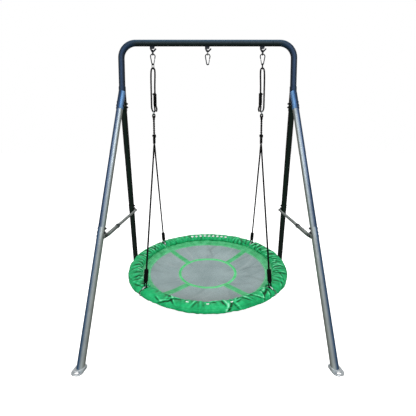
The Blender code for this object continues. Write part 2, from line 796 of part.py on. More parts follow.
def suspension(side, facing, word, frame):
    """Hanger and rope set of one side. Returns the pivot at its rim clips."""
    x = side * HANG_X
    swing = pivot(f"swing_{word}", (x, 0, SWING_Z), frame)
    hanger(x, facing, word, swing, swing)
    oval_link(side, word, swing)
    rope_loop(side, word, swing)
    rope_adjuster(side, word, swing)
    pitch = pivot(f"pitch_{word}", (x, 0, PITCH_Z), swing)
    eye_ring(side, word, pitch)
    sway = pivot(f"sway_{word}", (x, 0, BIGHT_Z), pitch)
    rope_neck(side, word, sway)
    for end, end_word, _ in ENDS:
        rope_strand(side, end, f"{end_word}_{word}", sway)
    return pivot(f"clips_{word}", tipped((x, 0, EYE_LOW)), sway)


def seat(parent):
    corner = math.degrees(math.atan2(CLIP_Y, HANG_X))
    rim_tube(parent)
    seat_mat(parent)
    rim_pad(-corner, corner, "right", parent)
    rim_pad(corner, 180 - corner, "rear", parent)
    rim_pad(180 - corner, 180 + corner, "left", parent)
    rim_pad(180 + corner, 360 - corner, "front", parent)
    for side, word in SIDES:
        for end, end_word, _ in ENDS:
            rim_clip(side, end, f"{end_word}_{word}", parent)


def build():
    clear_scene()
    frame = stand()
    swing = pivot("swing_middle", (0, 0, SWING_Z), frame)
    hanger(0, 1, "middle", swing, pivot("sway_middle", (0, 0, SWAY_Z), swing))
    clips = suspension(-1, 1, "left", frame)
    suspension(1, -1, "right", frame)
    seat(clips)


build()
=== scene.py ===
"""Saucer nest swing on an A-frame stand: the visual model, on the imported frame."""

import math
import random

import bpy
import bmesh
import numpy as np
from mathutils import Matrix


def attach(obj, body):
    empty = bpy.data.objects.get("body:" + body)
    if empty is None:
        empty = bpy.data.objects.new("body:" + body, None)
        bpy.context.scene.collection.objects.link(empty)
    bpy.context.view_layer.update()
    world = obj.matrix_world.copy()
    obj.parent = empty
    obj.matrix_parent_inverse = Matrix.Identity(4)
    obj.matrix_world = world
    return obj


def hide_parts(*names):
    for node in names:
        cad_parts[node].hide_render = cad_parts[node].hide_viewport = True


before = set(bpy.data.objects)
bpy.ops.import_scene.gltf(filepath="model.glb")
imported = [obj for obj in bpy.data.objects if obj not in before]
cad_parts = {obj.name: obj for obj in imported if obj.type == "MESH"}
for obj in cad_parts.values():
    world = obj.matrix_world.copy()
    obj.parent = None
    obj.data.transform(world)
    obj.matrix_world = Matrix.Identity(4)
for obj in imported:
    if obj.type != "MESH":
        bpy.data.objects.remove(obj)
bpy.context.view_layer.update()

# Sizes that repeat those of the CAD model, in metres.
GAP = 0.0003
RIM_Z, RIM_R, HANG_X = 0.287, 0.455, 0.337
CLIP_Y = math.sqrt(RIM_R**2 - HANG_X**2)
BAR_Z, APEX_Z, TOP_X, FOOT_X, FOOT_Y = 1.686, 1.400, 0.530, 0.607, 0.498
TUBE_R, SOCKET_R, SOCKET_LENGTH, COLLAR_TOP = 0.0190, 0.0212, 0.125, 1.425
BAR_HALF, BEND_R, LEG_START, LEG_JOINT = 0.397, 0.090, 0.0615, 0.826
PLATE_T, PLATE_HALF, PLATE_FRONT, PLATE_BACK = 0.005, 0.0285, 0.044, 0.024
BRACE_Z, BRACE_OUT_R, BRACE_IN_R, BRACE_SEAM = 0.578, 0.0110, 0.0095, -0.110
THROAT_Z, THROAT_R, HOOK_WEB = 1.6445, 0.0045, 0.0080
RING_R, RING_WIRE, RING_Z = 0.0145, 0.0025, 1.6297
SNAP_WIRE, SNAP_TOP_R, SNAP_TOP_Z, SNAP_LOW_R, SNAP_LOW_Z = 0.0032, 0.0141, 1.6071, 0.0062, 1.5642
LINK_WIRE, LINK_HALF, LINK_TOP, LINK_LOW = 0.0022, 0.0104, 1.5642, 1.5307
ROPE_R, ROPE_SHOWN, ADJ_TOP, ADJ_LOW, ADJ_IN = 0.0045, 0.0100, 1.3910, 1.3085, 0.0090
EYE_RING_R, EYE_RING_WIRE, EYE_RING_Z = 0.0130, 0.0022, 1.2655
NECK_LOW, KNOT_Z = 1.0727, 1.123
EYE_LOW, EYE_HALF, EYE_R = 0.3048, 0.0108, 0.0034
CLIP_R, CLIP_WIRE, CLIP_Z = 0.0206, 0.0030, 0.2918
PAD_W, PAD_H, MAT_SAG = 0.045, 0.026, 0.044
MAT_DROP = 0.020  # from the rim's centre line down to the edge of the mat's upper face
SEAT_TIP = math.radians(2.2)
MAT_EDGE = RIM_R - PAD_W - 0.0015
CORNER = math.atan2(CLIP_Y, HANG_X)

SIDES = ((-1, "left"), (1, "right"))
ENDS = ((-1, "front"), (1, "rear"))
X = np.array((1.0, 0.0, 0.0))
Y = np.array((0.0, 1.0, 0.0))
Z = np.array((0.0, 0.0, 1.0))


def V(*p):
    return np.array(p, float)


def unit(v):
    return v / np.linalg.norm(v)


def tipped(points):
    """Where points of the level seat lie once it is tipped, front down, about its left-to-right line."""
    middle = RIM_Z * Z
    c, s = math.cos(SEAT_TIP), math.sin(SEAT_TIP)
    return (np.asarray(points, float) - middle) @ np.array(((1, 0, 0), (0, c, -s), (0, s, c))).T + middle


def smoothstep(low, high, t):
    t = np.clip((t - low) / (high - low), 0, 1)
    return t * t * (3 - 2 * t)


def full_turn(count):
    """Angles all the way round, without the last one, which would repeat the first."""
    return 2 * np.pi * np.arange(count) / count


def place(name, data):
    """A new object in the scene."""
    obj = bpy.data.objects.new(name, data)
    bpy.context.scene.collection.objects.link(obj)
    return obj


# ---------------------------------------------------------------- camera

# The view that was fitted to the stand's feet, its bar and the rim.
camera = place("camera", bpy.data.cameras.new("camera"))
camera.location = (0.0, -1.664, 1.051)
camera.rotation_euler = (math.pi / 2 - 0.086, 0, 0)
camera.data.sensor_width = 36
camera.data.lens = 22.699038
camera.data.shift_x = 0.00072115386
camera.data.shift_y = -0.09134615
camera.data.clip_start = 0.01
camera.data.clip_end = 100
bpy.context.scene.camera = camera


# ---------------------------------------------------------------- materials

def rgb(code):
    channels = [int(code[i : i + 2], 16) / 255 for i in (0, 2, 4)]
    return (*[c / 12.92 if c <= 0.04045 else ((c + 0.055) / 1.055) ** 2.4 for c in channels], 1.0)


class Nodes:
    """Short ways to add nodes to a tree and to join them."""

    def __init__(self, tree):
        self.tree = tree

    def node(self, kind, inputs=(), **settings):
        made = self.tree.nodes.new(kind)
        for key, value in settings.items():
            setattr(made, key, value)
        for key, value in dict(inputs).items():
            self.join(value, made, key)
        return made

    def join(self, value, node, key):
        if isinstance(value, bpy.types.NodeSocket):
            self.tree.links.new(value, node.inputs[key])
        else:
            node.inputs[key].default_value = value

    def coords(self, which="Object"):
        return self.node("ShaderNodeTexCoord").outputs[which]

    def noise(self, scale, detail, rough=0.5):
        inputs = {"Vector": self.coords(), "Scale": scale, "Detail": detail, "Roughness": rough}
        return self.node("ShaderNodeTexNoise", inputs).outputs["Fac"]

    def math(self, kind, a, b=0.0):
        return self.node("ShaderNodeMath", {0: a, 1: b}, operation=kind).outputs[0]

    def times(self, a, b):
        return self.math("MULTIPLY", a, b)

    def plus(self, a, b):
        return self.math("ADD", a, b)

    def part(self, vector, axis):
        """One axis of a vector."""
        return self.node("ShaderNodeSeparateXYZ", {0: vector}).outputs[axis]

    def wave(self, where, axis, period):
        """A sine from -1 to 1 along one axis, with this period in metres."""
        return self.math("SINE", self.times(self.part(where, axis), 2 * math.pi / period))

    def spread(self, value, low, high, start=0.0, end=1.0):
        """Rescales a value from the range start to end to the range low to high."""
        return self.node("ShaderNodeMapRange", {0: value, 1: start, 2: end, 3: low, 4: high}).outputs[0]

    def fold_shade(self):
        """How far the surface lies in a crease (-1) or on a crown (1), as Shape keeps it; the materials
        paint shade and highlight from it.
        """
        return self.node("ShaderNodeAttribute", attribute_name="fold_shade").outputs["Fac"]

    def ramp(self, factor, stops):
        made = self.node("ShaderNodeValToRGB", {0: factor})
        while len(made.color_ramp.elements) < len(stops):
            made.color_ramp.elements.new(0.5)
        for element, (at, colour) in zip(made.color_ramp.elements, stops):
            element.position = at
            element.color = colour if isinstance(colour, tuple) else rgb(colour)
        return made.outputs["Color"]

    def mix(self, factor, a, b, blend="MIX"):
        made = self.node("ShaderNodeMix", data_type="RGBA", blend_type=blend)
        self.join(factor, made, 0)
        self.join(a, made, 6)
        self.join(b, made, 7)
        return made.outputs[2]


class Paint(Nodes):
    """A Principled material."""

    def __init__(self, name, roughness, metallic=0.0, **sockets):
        self.mat = bpy.data.materials.new(name)
        self.mat.use_nodes = True
        super().__init__(self.mat.node_tree)
        self.shader = self.tree.nodes["Principled BSDF"]
        self.shader.inputs["Roughness"].default_value = roughness
        self.shader.inputs["Metallic"].default_value = metallic
        for socket, value in sockets.items():
            self.shader.inputs[socket.replace("_", " ")].default_value = value

    def colour(self, value):
        self.join(value, self.shader, "Base Color")

    def patchy(self, noise, dark, light, low=0.3, high=0.7):
        """A colour that wanders between two, by a noise's scale and detail."""
        self.colour(self.ramp(self.noise(*noise), [(low, dark), (high, light)]))

    def gloss(self, noise, low, high):
        """A roughness that wanders between two values."""
        self.join(self.spread(self.noise(*noise), low, high), self.shader, "Roughness")

    def bump(self, height, distance, strength=1.0):
        made = self.node("ShaderNodeBump", {"Height": height, "Distance": distance, "Strength": strength})
        normal = self.shader.inputs["Normal"]
        if normal.is_linked:
            self.tree.links.new(normal.links[0].from_socket, made.inputs["Normal"])
        self.tree.links.new(made.outputs[0], normal)


def powder_coat(name, dark, light, roughness, metallic):
    """Paint with faint orange peel, dust and uneven gloss."""
    p = Paint(name, roughness, metallic, Coat_Weight=0.02, Coat_Roughness=0.4)
    p.patchy((14, 5), dark, light)
    p.gloss((40, 4), roughness - 0.06, roughness + 0.10)
    p.bump(p.noise(900, 2), 0.00012, 0.35)
    return p.mat


def painted_light_paint(name, stops, roughness, metallic, axis, sign, level_stops=None):
    """Metallic paint with painted light and shade across the tube: its colour follows a ramp from one side
    of the tube to the other, in place of the highlights and shade that lamps would give.
    With level_stops the level part of a bent tube has those colours, from below to above, as painted shade
    underneath and painted light on top."""
    p = Paint(name, roughness, metallic, Specular_IOR_Level=0.30)
    normal = p.node("ShaderNodeNewGeometry").outputs["Normal"]
    # Painted highlight and painted shade: the colour is picked by the side of the tube the surface faces.
    base = p.ramp(p.spread(p.times(p.part(normal, axis), sign), 0, 1, -1, 1), stops)
    if level_stops:
        # Painted shade below and painted light on top of the level part.
        level = p.ramp(p.spread(p.part(normal, 2), 0, 1, -1, 1), level_stops)
        out = p.math("ABSOLUTE", p.part(p.coords(), 0))
        base = p.mix(p.spread(out, 0, 1, TOP_X - BEND_R - 0.01, TOP_X - 0.02), level, base)
    p.colour(p.mix(p.noise(22, 5), base, p.mix(1.0, base, rgb("C8CCD0"), "MULTIPLY")))
    p.gloss((60, 3), roughness - 0.05, roughness + 0.08)
    p.bump(p.noise(900, 2), 0.00010, 0.3)
    return p.mat


def metal(name, dark, light, roughness, scale=90):
    """Plated steel with faint scratches and spangle."""
    p = Paint(name, roughness, 1.0)
    p.patchy((scale, 4), dark, light)
    p.gloss((scale * 3, 3), roughness - 0.08, roughness + 0.14)
    p.bump(p.noise(scale * 8, 3), 0.00015, 0.3)
    return p.mat


def plastic(name, dark, light):
    p = Paint(name, 0.5)
    p.patchy((60, 3), dark, light)
    p.bump(p.noise(1500, 2), 0.0001, 0.4)
    return p.mat


def braid(name, period):
    """Braided rope: two sets of yarns that cross, in UV metres along and round the rope."""
    p = Paint(name, 0.85, 0.0, Specular_IOR_Level=0.15)
    uv = p.coords("UV")
    along, round_it = p.part(uv, 0), p.part(uv, 1)
    one, two = (p.math("SINE", p.times(p.math(kind, along, round_it), 2 * math.pi / period))
                for kind in ("ADD", "SUBTRACT"))
    cross = p.spread(p.math("MAXIMUM", one, two), 0.0, 1.0)
    fuzz = p.noise(1800, 3)
    tone = p.plus(p.times(cross, 0.6), p.times(fuzz, 0.4))
    p.colour(p.ramp(tone, [(0.2, "010101"), (0.9, "070708")]))
    p.bump(cross, 0.0006, 0.8)
    p.bump(fuzz, 0.0002, 0.5)
    return p.mat


def cover_fabric(name, deep, dark, base, light, crown):
    """Coated woven polyester, with painted shade in its creases and on its underside, and a painted
    highlight on its crowns.
    """
    p = Paint(name, 0.46, 0.0, Specular_IOR_Level=0.22)
    uv = p.coords("UV")
    patches = p.spread(p.noise(20, 6, rough=0.62), -0.45, 0.45)
    crumple = p.spread(p.noise(70, 5, rough=0.7), -0.45, 0.45)
    # Painted shade and highlight: the fold value, shifted by random patches and crumples, picks from deep
    # and dark (painted shade) through base to light and crown (painted highlight).
    share = p.spread(p.plus(p.plus(p.fold_shade(), patches), crumple), 0, 1, -1, 1)
    tone = p.ramp(share, [(0.05, deep), (0.27, dark), (0.50, base), (0.70, light), (0.95, crown)])
    weave = p.times(p.wave(uv, 0, 0.0011), p.wave(uv, 1, 0.0011))
    p.colour(p.mix(p.spread(weave, 0.0, 0.18), tone, rgb(dark)))
    p.gloss((30, 4), 0.36, 0.58)
    p.bump(weave, 0.00012, 0.3)
    p.bump(p.noise(75, 5, rough=0.7), 0.0022, 0.5)
    return p.mat


def webbing(name, dark, base, light, rib=0.0016, edge=None):
    """Woven strap with ribs along it and, where an edge is given, a row of stitches beside it."""
    p = Paint(name, 0.6, 0.0, Sheen_Weight=0.2)
    uv = p.coords("UV")
    weave = p.times(p.wave(uv, 1, rib), p.wave(uv, 0, rib * 1.3))
    tone = p.ramp(p.noise(25, 5), [(0.3, dark), (0.5, base), (0.75, light)])
    tone = p.mix(p.spread(weave, 0.0, 0.25), tone, rgb(dark))
    p.bump(weave, 0.00025, 0.5)
    if edge:
        off = p.math("ABSOLUTE", p.math("SUBTRACT", p.math("ABSOLUTE", p.part(uv, 1)), edge))
        line = p.math("LESS_THAN", off, 0.0007)
        dash = p.math("GREATER_THAN", p.wave(uv, 0, 0.0042), -0.35)
        stitch = p.times(line, dash)
        tone = p.mix(stitch, tone, rgb("B9F0CC"))
        p.bump(stitch, 0.0005, 0.7)
    p.colour(tone)
    return p.mat


def mesh_fabric(name):
    """Open coated mesh: light yarns with small dark holes between them, faint weather stains, painted shade
    towards the front, and painted shade in its creases with a painted highlight on their crowns.
    """
    p = Paint(name, 0.72, 0.0, Sheen_Weight=0.1)
    where = p.coords()
    weave = p.times(p.wave(where, 0, 0.0030), p.wave(where, 1, 0.0030))
    hole = p.math("GREATER_THAN", weave, 0.55)
    tone = p.ramp(p.noise(6, 6, rough=0.62), [(0.30, "8FA2A4"), (0.52, "A1B4B6"), (0.75, "B0C1C2")])
    near_shade = p.spread(p.part(where, 1), 0.0, 0.55, -0.20, -0.34)
    crown = p.math("MAXIMUM", p.fold_shade(), 0.0)
    crease = p.math("MAXIMUM", p.times(p.fold_shade(), -1.0), 0.0)
    # Painted shade towards the front, a painted highlight on the crowns and painted shade in the creases,
    # then the dark holes.
    for share, code in ((near_shade, "7E8583"), (p.times(crown, 0.45), "C3CECD"),
                        (p.times(crease, 0.5), "66706F"), (p.times(hole, 0.55), "4C5656")):
        tone = p.mix(share, tone, rgb(code))
    p.colour(tone)
    p.gloss((50, 3), 0.62, 0.82)
    p.bump(weave, 0.0004, 0.5)
    p.bump(p.noise(28, 4), 0.002, 0.30)
    return p.mat


# Colour ramps across each tube, from its outer side to its inner side (for the bar and the level part of an
# elbow, from below to above): painted shade on the dark stops and painted highlights on the light ones. The
# sleeve's bright stops are a painted highlight, and the rear legs' stops are painted shade.
BAR_STOPS = [(0.0, "0A1212"), (0.25, "1A2A2A"), (0.45, "213640"), (0.70, "22485F"), (1.0, "275877")]
ELBOW_STOPS = [(0.0, "0C1822"), (0.35, "16324A"), (0.60, "20446C"), (0.85, "132A40"), (1.0, "0B141E")]
FRONT_STOPS = [(0.0, "1E3A56"), (0.30, "2B4C6E"), (0.45, "5A6F90"), (0.58, "93A3B8"),
               (0.70, "D0DEE6"), (0.84, "D8E4EA"), (0.92, "A3A8A2"), (1.0, "878C84")]
LOWER_STOPS = [(0.0, "20384C"), (0.28, "33567A"), (0.42, "5E7690"), (0.56, "939EA6"),
               (0.70, "BAC3C3"), (0.88, "B4BBB6"), (1.0, "868C83")]
REAR_STOPS = [(0.0, "0B120D"), (0.35, "16231B"), (0.6, "1D3029"), (0.85, "122016"), (1.0, "1A120E")]
SLEEVE_STOPS = [(0.0, "142C44"), (0.50, "1E4064"), (0.62, "4A80C0"), (0.76, "86BBF0"), (0.90, "7CA9DC"),
                (1.0, "355E8C")]

# Each tube part gets its own copy of the paint with its own painted light: the front legs and front sleeves
# carry painted highlights, the rear legs and rear sleeves painted shade, the bar and elbows painted light on
# top.
mat_bar = painted_light_paint("bar_painted_light", BAR_STOPS, 0.5, 0.0, 2, 1.0)
mat_hook = powder_coat("hook_paint", "050C14", "0C1E2E", 0.6, 0.0)
mat_elbow, mat_front, mat_lower, mat_sleeve, mat_rear = {}, {}, {}, {}, {}
for side, word in SIDES:
    mat_elbow[side] = painted_light_paint(f"elbow_painted_light_{word}", ELBOW_STOPS, 0.5, 0.0, 0, -side, BAR_STOPS)
    mat_front[side] = painted_light_paint(f"front_leg_painted_highlight_{word}", FRONT_STOPS, 0.34, 0.35, 0, -side)
    mat_lower[side] = painted_light_paint(f"lower_leg_painted_highlight_{word}", LOWER_STOPS, 0.36, 0.35, 0, -side)
    mat_sleeve[side] = painted_light_paint(f"sleeve_painted_highlight_{word}", SLEEVE_STOPS, 0.34, 0.2, 0, -side)
    mat_rear[side] = painted_light_paint(f"rear_leg_painted_shade_{word}", REAR_STOPS, 0.42, 0.25, 0, -side)
mat_zinc = metal("zinc_plate", "B4BDC0", "DDE4E6", 0.30)
mat_plate = metal("foot_plate_zinc", "C4CCD0", "EDF1F3", 0.34)
mat_brace = metal("brace_zinc", "6E7672", "A2A9A5", 0.36)
mat_bolt = metal("dark_bolts", "2A2C2E", "4A4C4E", 0.36, 200)
mat_steel = metal("dark_steel", "14171B", "2C3136", 0.40, 200)
mat_gate = metal("gate_steel", "33383D", "5A6066", 0.34, 200)
mat_plastic = plastic("black_plastic", "1A2226", "2A3539")
mat_rope = braid("black_braid", 0.0035)
mat_cord = braid("black_whipping", 0.0022)
mat_cover = cover_fabric("green_cover", "02401F", "067842", "18B86E", "3CD48A", "A6F6CC")
mat_hem = cover_fabric("green_hem", "065A34", "0E844C", "1CAE68", "38C680", "68D6A0")
mat_band = webbing("light_green_band", "2BAA63", "45C57F", "6AD79A", 0.0018, 0.0165)
mat_ring = webbing("bright_green_ring", "2CC565", "3CDA78", "5EE593", 0.0016, 0.0075)
mat_strap = webbing("green_strap", "25A55C", "38BE72", "5ACD8C", 0.0018, 0.0170)
mat_black_strap = webbing("black_strap", "070708", "101012", "1C1C1F", 0.0014, 0.0040)
mat_mesh = mesh_fabric("grey_mesh")
mat_white = webbing("white_tape", "D9DEDC", "F2F5F4", "FFFFFF", 0.0015)


# ---------------------------------------------------------------- mesh helpers

class Shape:
    """Collects grids of points as one mesh, with UVs in metres."""

    def __init__(self):
        self.points, self.faces, self.uvs, self.folds, self.count = [], [], [], [], 0

    def grid(self, rows, wrap=True, loop=False, caps=False, uv=None, fold_shade=None):
        """rows is (rings, points, 3). wrap joins each ring's ends, loop joins the last ring to the first.
        fold says how far each point lies in a crease (-1) or on a crown (1), for the painted shade in
        creases and painted highlight on crowns that the materials draw from it."""
        rows = np.asarray(rows, float)
        n, m, _ = rows.shape
        self.folds.append(np.zeros(n * m) if fold_shade is None else np.asarray(fold_shade, float).ravel())
        start = self.count
        self.points.append(rows.reshape(-1, 3))
        self.count += n * m
        if uv is None:
            along = np.concatenate([[0], np.cumsum(np.linalg.norm(np.diff(rows, axis=0), axis=2).mean(1))])
            wide = np.linalg.norm(np.diff(rows, axis=1, append=rows[:, :1]), axis=2).max(0)
            across = np.concatenate([[0], np.cumsum(wide)])
            end = along[-1] + (along[1] if n > 1 else 0)
            uv_u = np.repeat(np.append(along, end)[:, None], m + 1, 1)
            uv_v = np.repeat(across[None], n + 1, 0)
        else:
            uv_u, uv_v = (np.pad(a, ((0, 1), (0, 1)), mode="edge") for a in uv)
        i, j = np.meshgrid(np.arange(n if loop else n - 1), np.arange(m if wrap else m - 1), indexing="ij")
        i, j = i.ravel(), j.ravel()
        i2, j2 = (i + 1) % n, (j + 1) % m
        self.faces += (start + np.stack([i * m + j, i * m + j2, i2 * m + j2, i2 * m + j], 1)).tolist()
        corners = ((i, j), (i, j + 1), (i + 1, j + 1), (i + 1, j))
        pairs = [np.stack([uv_u[a, b], uv_v[a, b]], 1) for a, b in corners]
        self.uvs.append(np.stack(pairs, 1).reshape(-1, 2))
        if caps:
            for row in (0, n - 1):
                self.faces.append([start + row * m + k for k in range(m)])
                self.uvs.append(np.zeros((m, 2)))

    def solid(self, rows, fold_shade=None):
        """A closed body: rings with flat ends."""
        self.grid(rows, caps=True, fold_shade=fold_shade)

    def hoop(self, path, radius, sides=16, normal=None):
        """A closed ring of round wire."""
        self.grid(sweep(path, radius, sides, normal, loop=True), loop=True)

    def lathe(self, start, way, profile, sides=40):
        """A closed body round a straight line, from (distance, radius) pairs."""
        self.solid(turned(start, way, profile, sides))

    def rod(self, path, radius, sides=16, normal=None):
        """A closed body round a path."""
        self.solid(sweep(path, radius, sides, normal))

    def make(self, name, material, body, replaces=None, sharp=38):
        """The piece, on its body. sharp is the angle in degrees over which an edge stays crisp."""
        mesh = bpy.data.meshes.new(name)
        points = np.concatenate(self.points)
        mesh.from_pydata((tipped(points) if body == "saucer" else points).tolist(), [], self.faces)
        folds = np.concatenate(self.folds)
        if folds.any():
            kept = mesh.attributes.new("fold_shade", "FLOAT", "POINT")
            kept.data.foreach_set("value", folds.astype(np.float32))
        layer = mesh.uv_layers.new(name="UVMap")
        layer.data.foreach_set("uv", np.concatenate(self.uvs).astype(np.float32).ravel())
        mesh.materials.append(material)
        bm = bmesh.new()
        bm.from_mesh(mesh)
        bmesh.ops.recalc_face_normals(bm, faces=bm.faces)
        bm.to_mesh(mesh)
        bm.free()
        mesh.shade_smooth()
        if sharp:
            mesh.set_sharp_from_angle(angle=math.radians(sharp))
        obj = place(name, mesh)
        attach(obj, body)
        if replaces:
            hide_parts(replaces)
        return obj


def travel(path, loop=False):
    """Unit tangents of a path."""
    path = np.asarray(path, float)
    if loop:
        step = np.roll(path, -1, 0) - np.roll(path, 1, 0)
    else:
        step = np.gradient(path, axis=0)
    return step / np.linalg.norm(step, axis=1)[:, None]


def sweep(path, radius, sides=16, normal=None, loop=False):
    """Rings of points round a path. radius is a number, one per ring, or one per ring and side.
    A given normal is perpendicular to the path's plane; otherwise the section is carried along untwisted."""
    path = np.asarray(path, float)
    ways = travel(path, loop)
    angles = full_turn(sides)
    radius = radius if np.ndim(radius) == 2 else np.reshape(radius, (-1, 1))
    radius = np.broadcast_to(radius, (len(path), sides))
    across = normal if normal is not None else Y if abs(ways[0] @ Y) < 0.9 else X
    rows = []
    for point, way, r in zip(path, ways, radius):
        a = unit(across - way * (across @ way))
        if normal is None:
            across = a
        rows.append(point + np.outer(np.cos(angles) * r, a) + np.outer(np.sin(angles) * r, np.cross(way, a)))
    return np.array(rows)


def crosswise(way, first, second):
    """Two unit vectors across a direction. The first points towards first, or towards second where
    first lies along the direction."""
    seed = first if abs(way @ first) < 0.9 else second
    a = unit(seed - way * (seed @ way))
    return a, np.cross(way, a)


def turned(start, way, profile, sides=40):
    """Rings round a straight line, from (distance, radius) pairs."""
    start, way = np.asarray(start, float), unit(np.asarray(way, float))
    a, b = crosswise(way, X, Y)
    angles = full_turn(sides)
    ring = np.outer(np.cos(angles), a) + np.outer(np.sin(angles), b)
    return np.array([start + way * s + ring * r for s, r in profile])


def arc(centre, u, v, radius, start, end, steps):
    turns = np.radians(np.linspace(start, end, steps + 1))[:, None]
    return np.asarray(centre) + (u * np.cos(turns) + v * np.sin(turns)) * radius


def circle(centre, u, v, radius, steps):
    return arc(centre, u, v, radius, 0, 360, steps)[:-1]


def spline(points, steps):
    """A Catmull-Rom curve through given points."""
    p = [np.asarray(q, float) for q in points]
    ends = [2 * p[0] - p[1], *p, 2 * p[-1] - p[-2]]
    made = []
    for a, b, c, d in zip(ends, ends[1:], ends[2:], ends[3:]):
        for t in np.arange(steps) / steps:
            made.append(0.5 * (2 * b + (c - a) * t + (2 * a - 5 * b + 4 * c - d) * t * t
                               + (3 * b - a - 3 * c + d) * t**3))
    return np.array([*made, p[-1]])


def resample(path, step):
    """The same path with points this far apart."""
    path = np.asarray(path, float)
    at = np.concatenate([[0], np.cumsum(np.linalg.norm(np.diff(path, axis=0), axis=1))])
    where = np.linspace(0, at[-1], max(2, int(round(at[-1] / step)) + 1))
    return np.stack([np.interp(where, at, path[:, k]) for k in range(3)], 1)


def rounded_ends(path, radius):
    """A radius per point that closes both ends of a tube."""
    r = np.full(len(path), radius, float)
    r[0] = r[-1] = radius * 0.02
    r[1] = r[-2] = radius * 0.86
    return r


def ripple(a, b, seed, low, high, count=14):
    """A smooth random field from -1 to 1, with wavelengths between low and high metres."""
    pick = random.Random(seed)
    total = np.zeros_like(a)
    for _ in range(count):
        wave = 2 * math.pi / pick.uniform(low, high)
        turn = pick.uniform(0, math.pi)
        total += np.sin(wave * (a * math.cos(turn) + b * math.sin(turn)) + pick.uniform(0, 6.28))
    return total / math.sqrt(count)


def bead(shape, path, radius, seed, loop=True):
    """A weld bead with small overlapping ripples."""
    path = resample(np.vstack([path, path[:1]]) if loop else path, radius * 0.5)
    if loop:
        path = path[:-1]
    at = np.arange(len(path))
    r = radius * (1 + 0.16 * np.sin(at * 1.9) + 0.10 * np.sin(at * 0.61 + seed))
    shape.grid(sweep(path, r, 8, loop=loop), loop=loop, caps=not loop)


# ---------------------------------------------------------------- stand

def leg_line(side, end):
    apex = V(side * TOP_X, 0, APEX_Z)
    return apex, unit(V(side * FOOT_X, end * FOOT_Y, 0) - apex)


def hexagon(start, way, across_flats, height):
    """A hexagonal prism with chamfered ends."""
    r = across_flats / math.sqrt(3)
    return turned(start, way, [(0, r * 0.90), (height * 0.12, r), (height * 0.85, r), (height, r * 0.86)], 6)


def through_bolt(shape, centre, out, half):
    """Bolt through a tube: a low round head on the outer side, washer, nut and bolt end on the inner."""
    out = unit(out)
    head = [(0, 0.0068), (0.0008, 0.0068), (0.0020, 0.0052), (0.0026, 0.0026), (0.0027, 0.0003)]
    shape.lathe(centre + out * (half - 0.0006), out, head, 24)
    base = centre - out * (half - 0.0008)
    shape.lathe(base, -out, [(0, 0.0068), (0.0016, 0.0068), (0.0020, 0.0064)], 24)
    shape.solid(hexagon(base - out * 0.0020, -out, 0.0105, 0.0046))
    shape.lathe(base - out * 0.0020, -out, [(0, 0.0030), (0.0062, 0.0030), (0.0074, 0.0022)], 16)


def build_stand():
    """The crossbar, and on each side an elbow, a welded V socket, two legs and a brace."""
    bar = Shape()
    end = BAR_HALF - GAP
    profile = [(0, TUBE_R - 0.0012), (0.0010, TUBE_R - 0.0002), (0.002, TUBE_R)]
    profile += [(end * 2 - s, r) for s, r in reversed(profile)]
    bar.lathe(V(-end, 0, BAR_Z), X, profile)
    bar.make("crossbar", mat_bar, "frame", "crossbar_tube")

    for side, word in SIDES:
        elbow = Shape()
        bend = V(side * (TOP_X - BEND_R), 0, BAR_Z - BEND_R)
        curve = arc(bend, X * side, Z, BEND_R, 90, 0, 24)
        path = [V(side * (BAR_HALF + GAP), 0, BAR_Z), V(side * (BAR_HALF + 0.0013), 0, BAR_Z),
                V(side * (BAR_HALF + 0.0023), 0, BAR_Z), *curve, V(side * TOP_X, 0, COLLAR_TOP + GAP)]
        radii = np.full(len(path), TUBE_R)
        radii[:2] = TUBE_R - 0.0012, TUBE_R - 0.0002
        elbow.rod(path, radii, 40, Y)
        elbow.make(f"corner_elbow_visual_{word}", mat_elbow[side], "frame", f"corner_elbow_{word}")

        socket = Shape()
        r = SOCKET_R
        socket.lathe(V(side * TOP_X, 0, APEX_Z - 0.018), Z, [
            (0, r * 0.4), (0.004, r * 0.94), (0.010, r), (0.0418, r), (0.0430, r - 0.001),
            (0.0430, TUBE_R - 0.0004)])
        seam = circle(V(side * TOP_X, 0, COLLAR_TOP + 0.0002), X, Y, TUBE_R + 0.0006, 40)
        bead(socket, seam, 0.0013, side + 2)
        socket.make(f"leg_socket_collar_{word}", mat_elbow[side], "frame", f"leg_socket_{word}")
        for e, e_word in ENDS:
            apex, way = leg_line(side, e)
            sleeve = Shape()
            sleeve.lathe(apex, way, [
                (0.004, r * 0.5), (0.008, r * 0.97), (0.014, r), (SOCKET_LENGTH - 0.0014, r),
                (SOCKET_LENGTH - 0.0003, r - 0.0008), (SOCKET_LENGTH, r - 0.0014),
                (SOCKET_LENGTH - 0.0002, TUBE_R - 0.0006)])
            # Front sleeves take the paint with the painted highlight, rear sleeves the paint in painted
            # shade.
            sleeve.make(f"leg_sleeve_{e_word}_{word}", (mat_sleeve if e < 0 else mat_rear)[side], "frame")
            build_leg(side, word, e, e_word)
        build_brace(side, word)


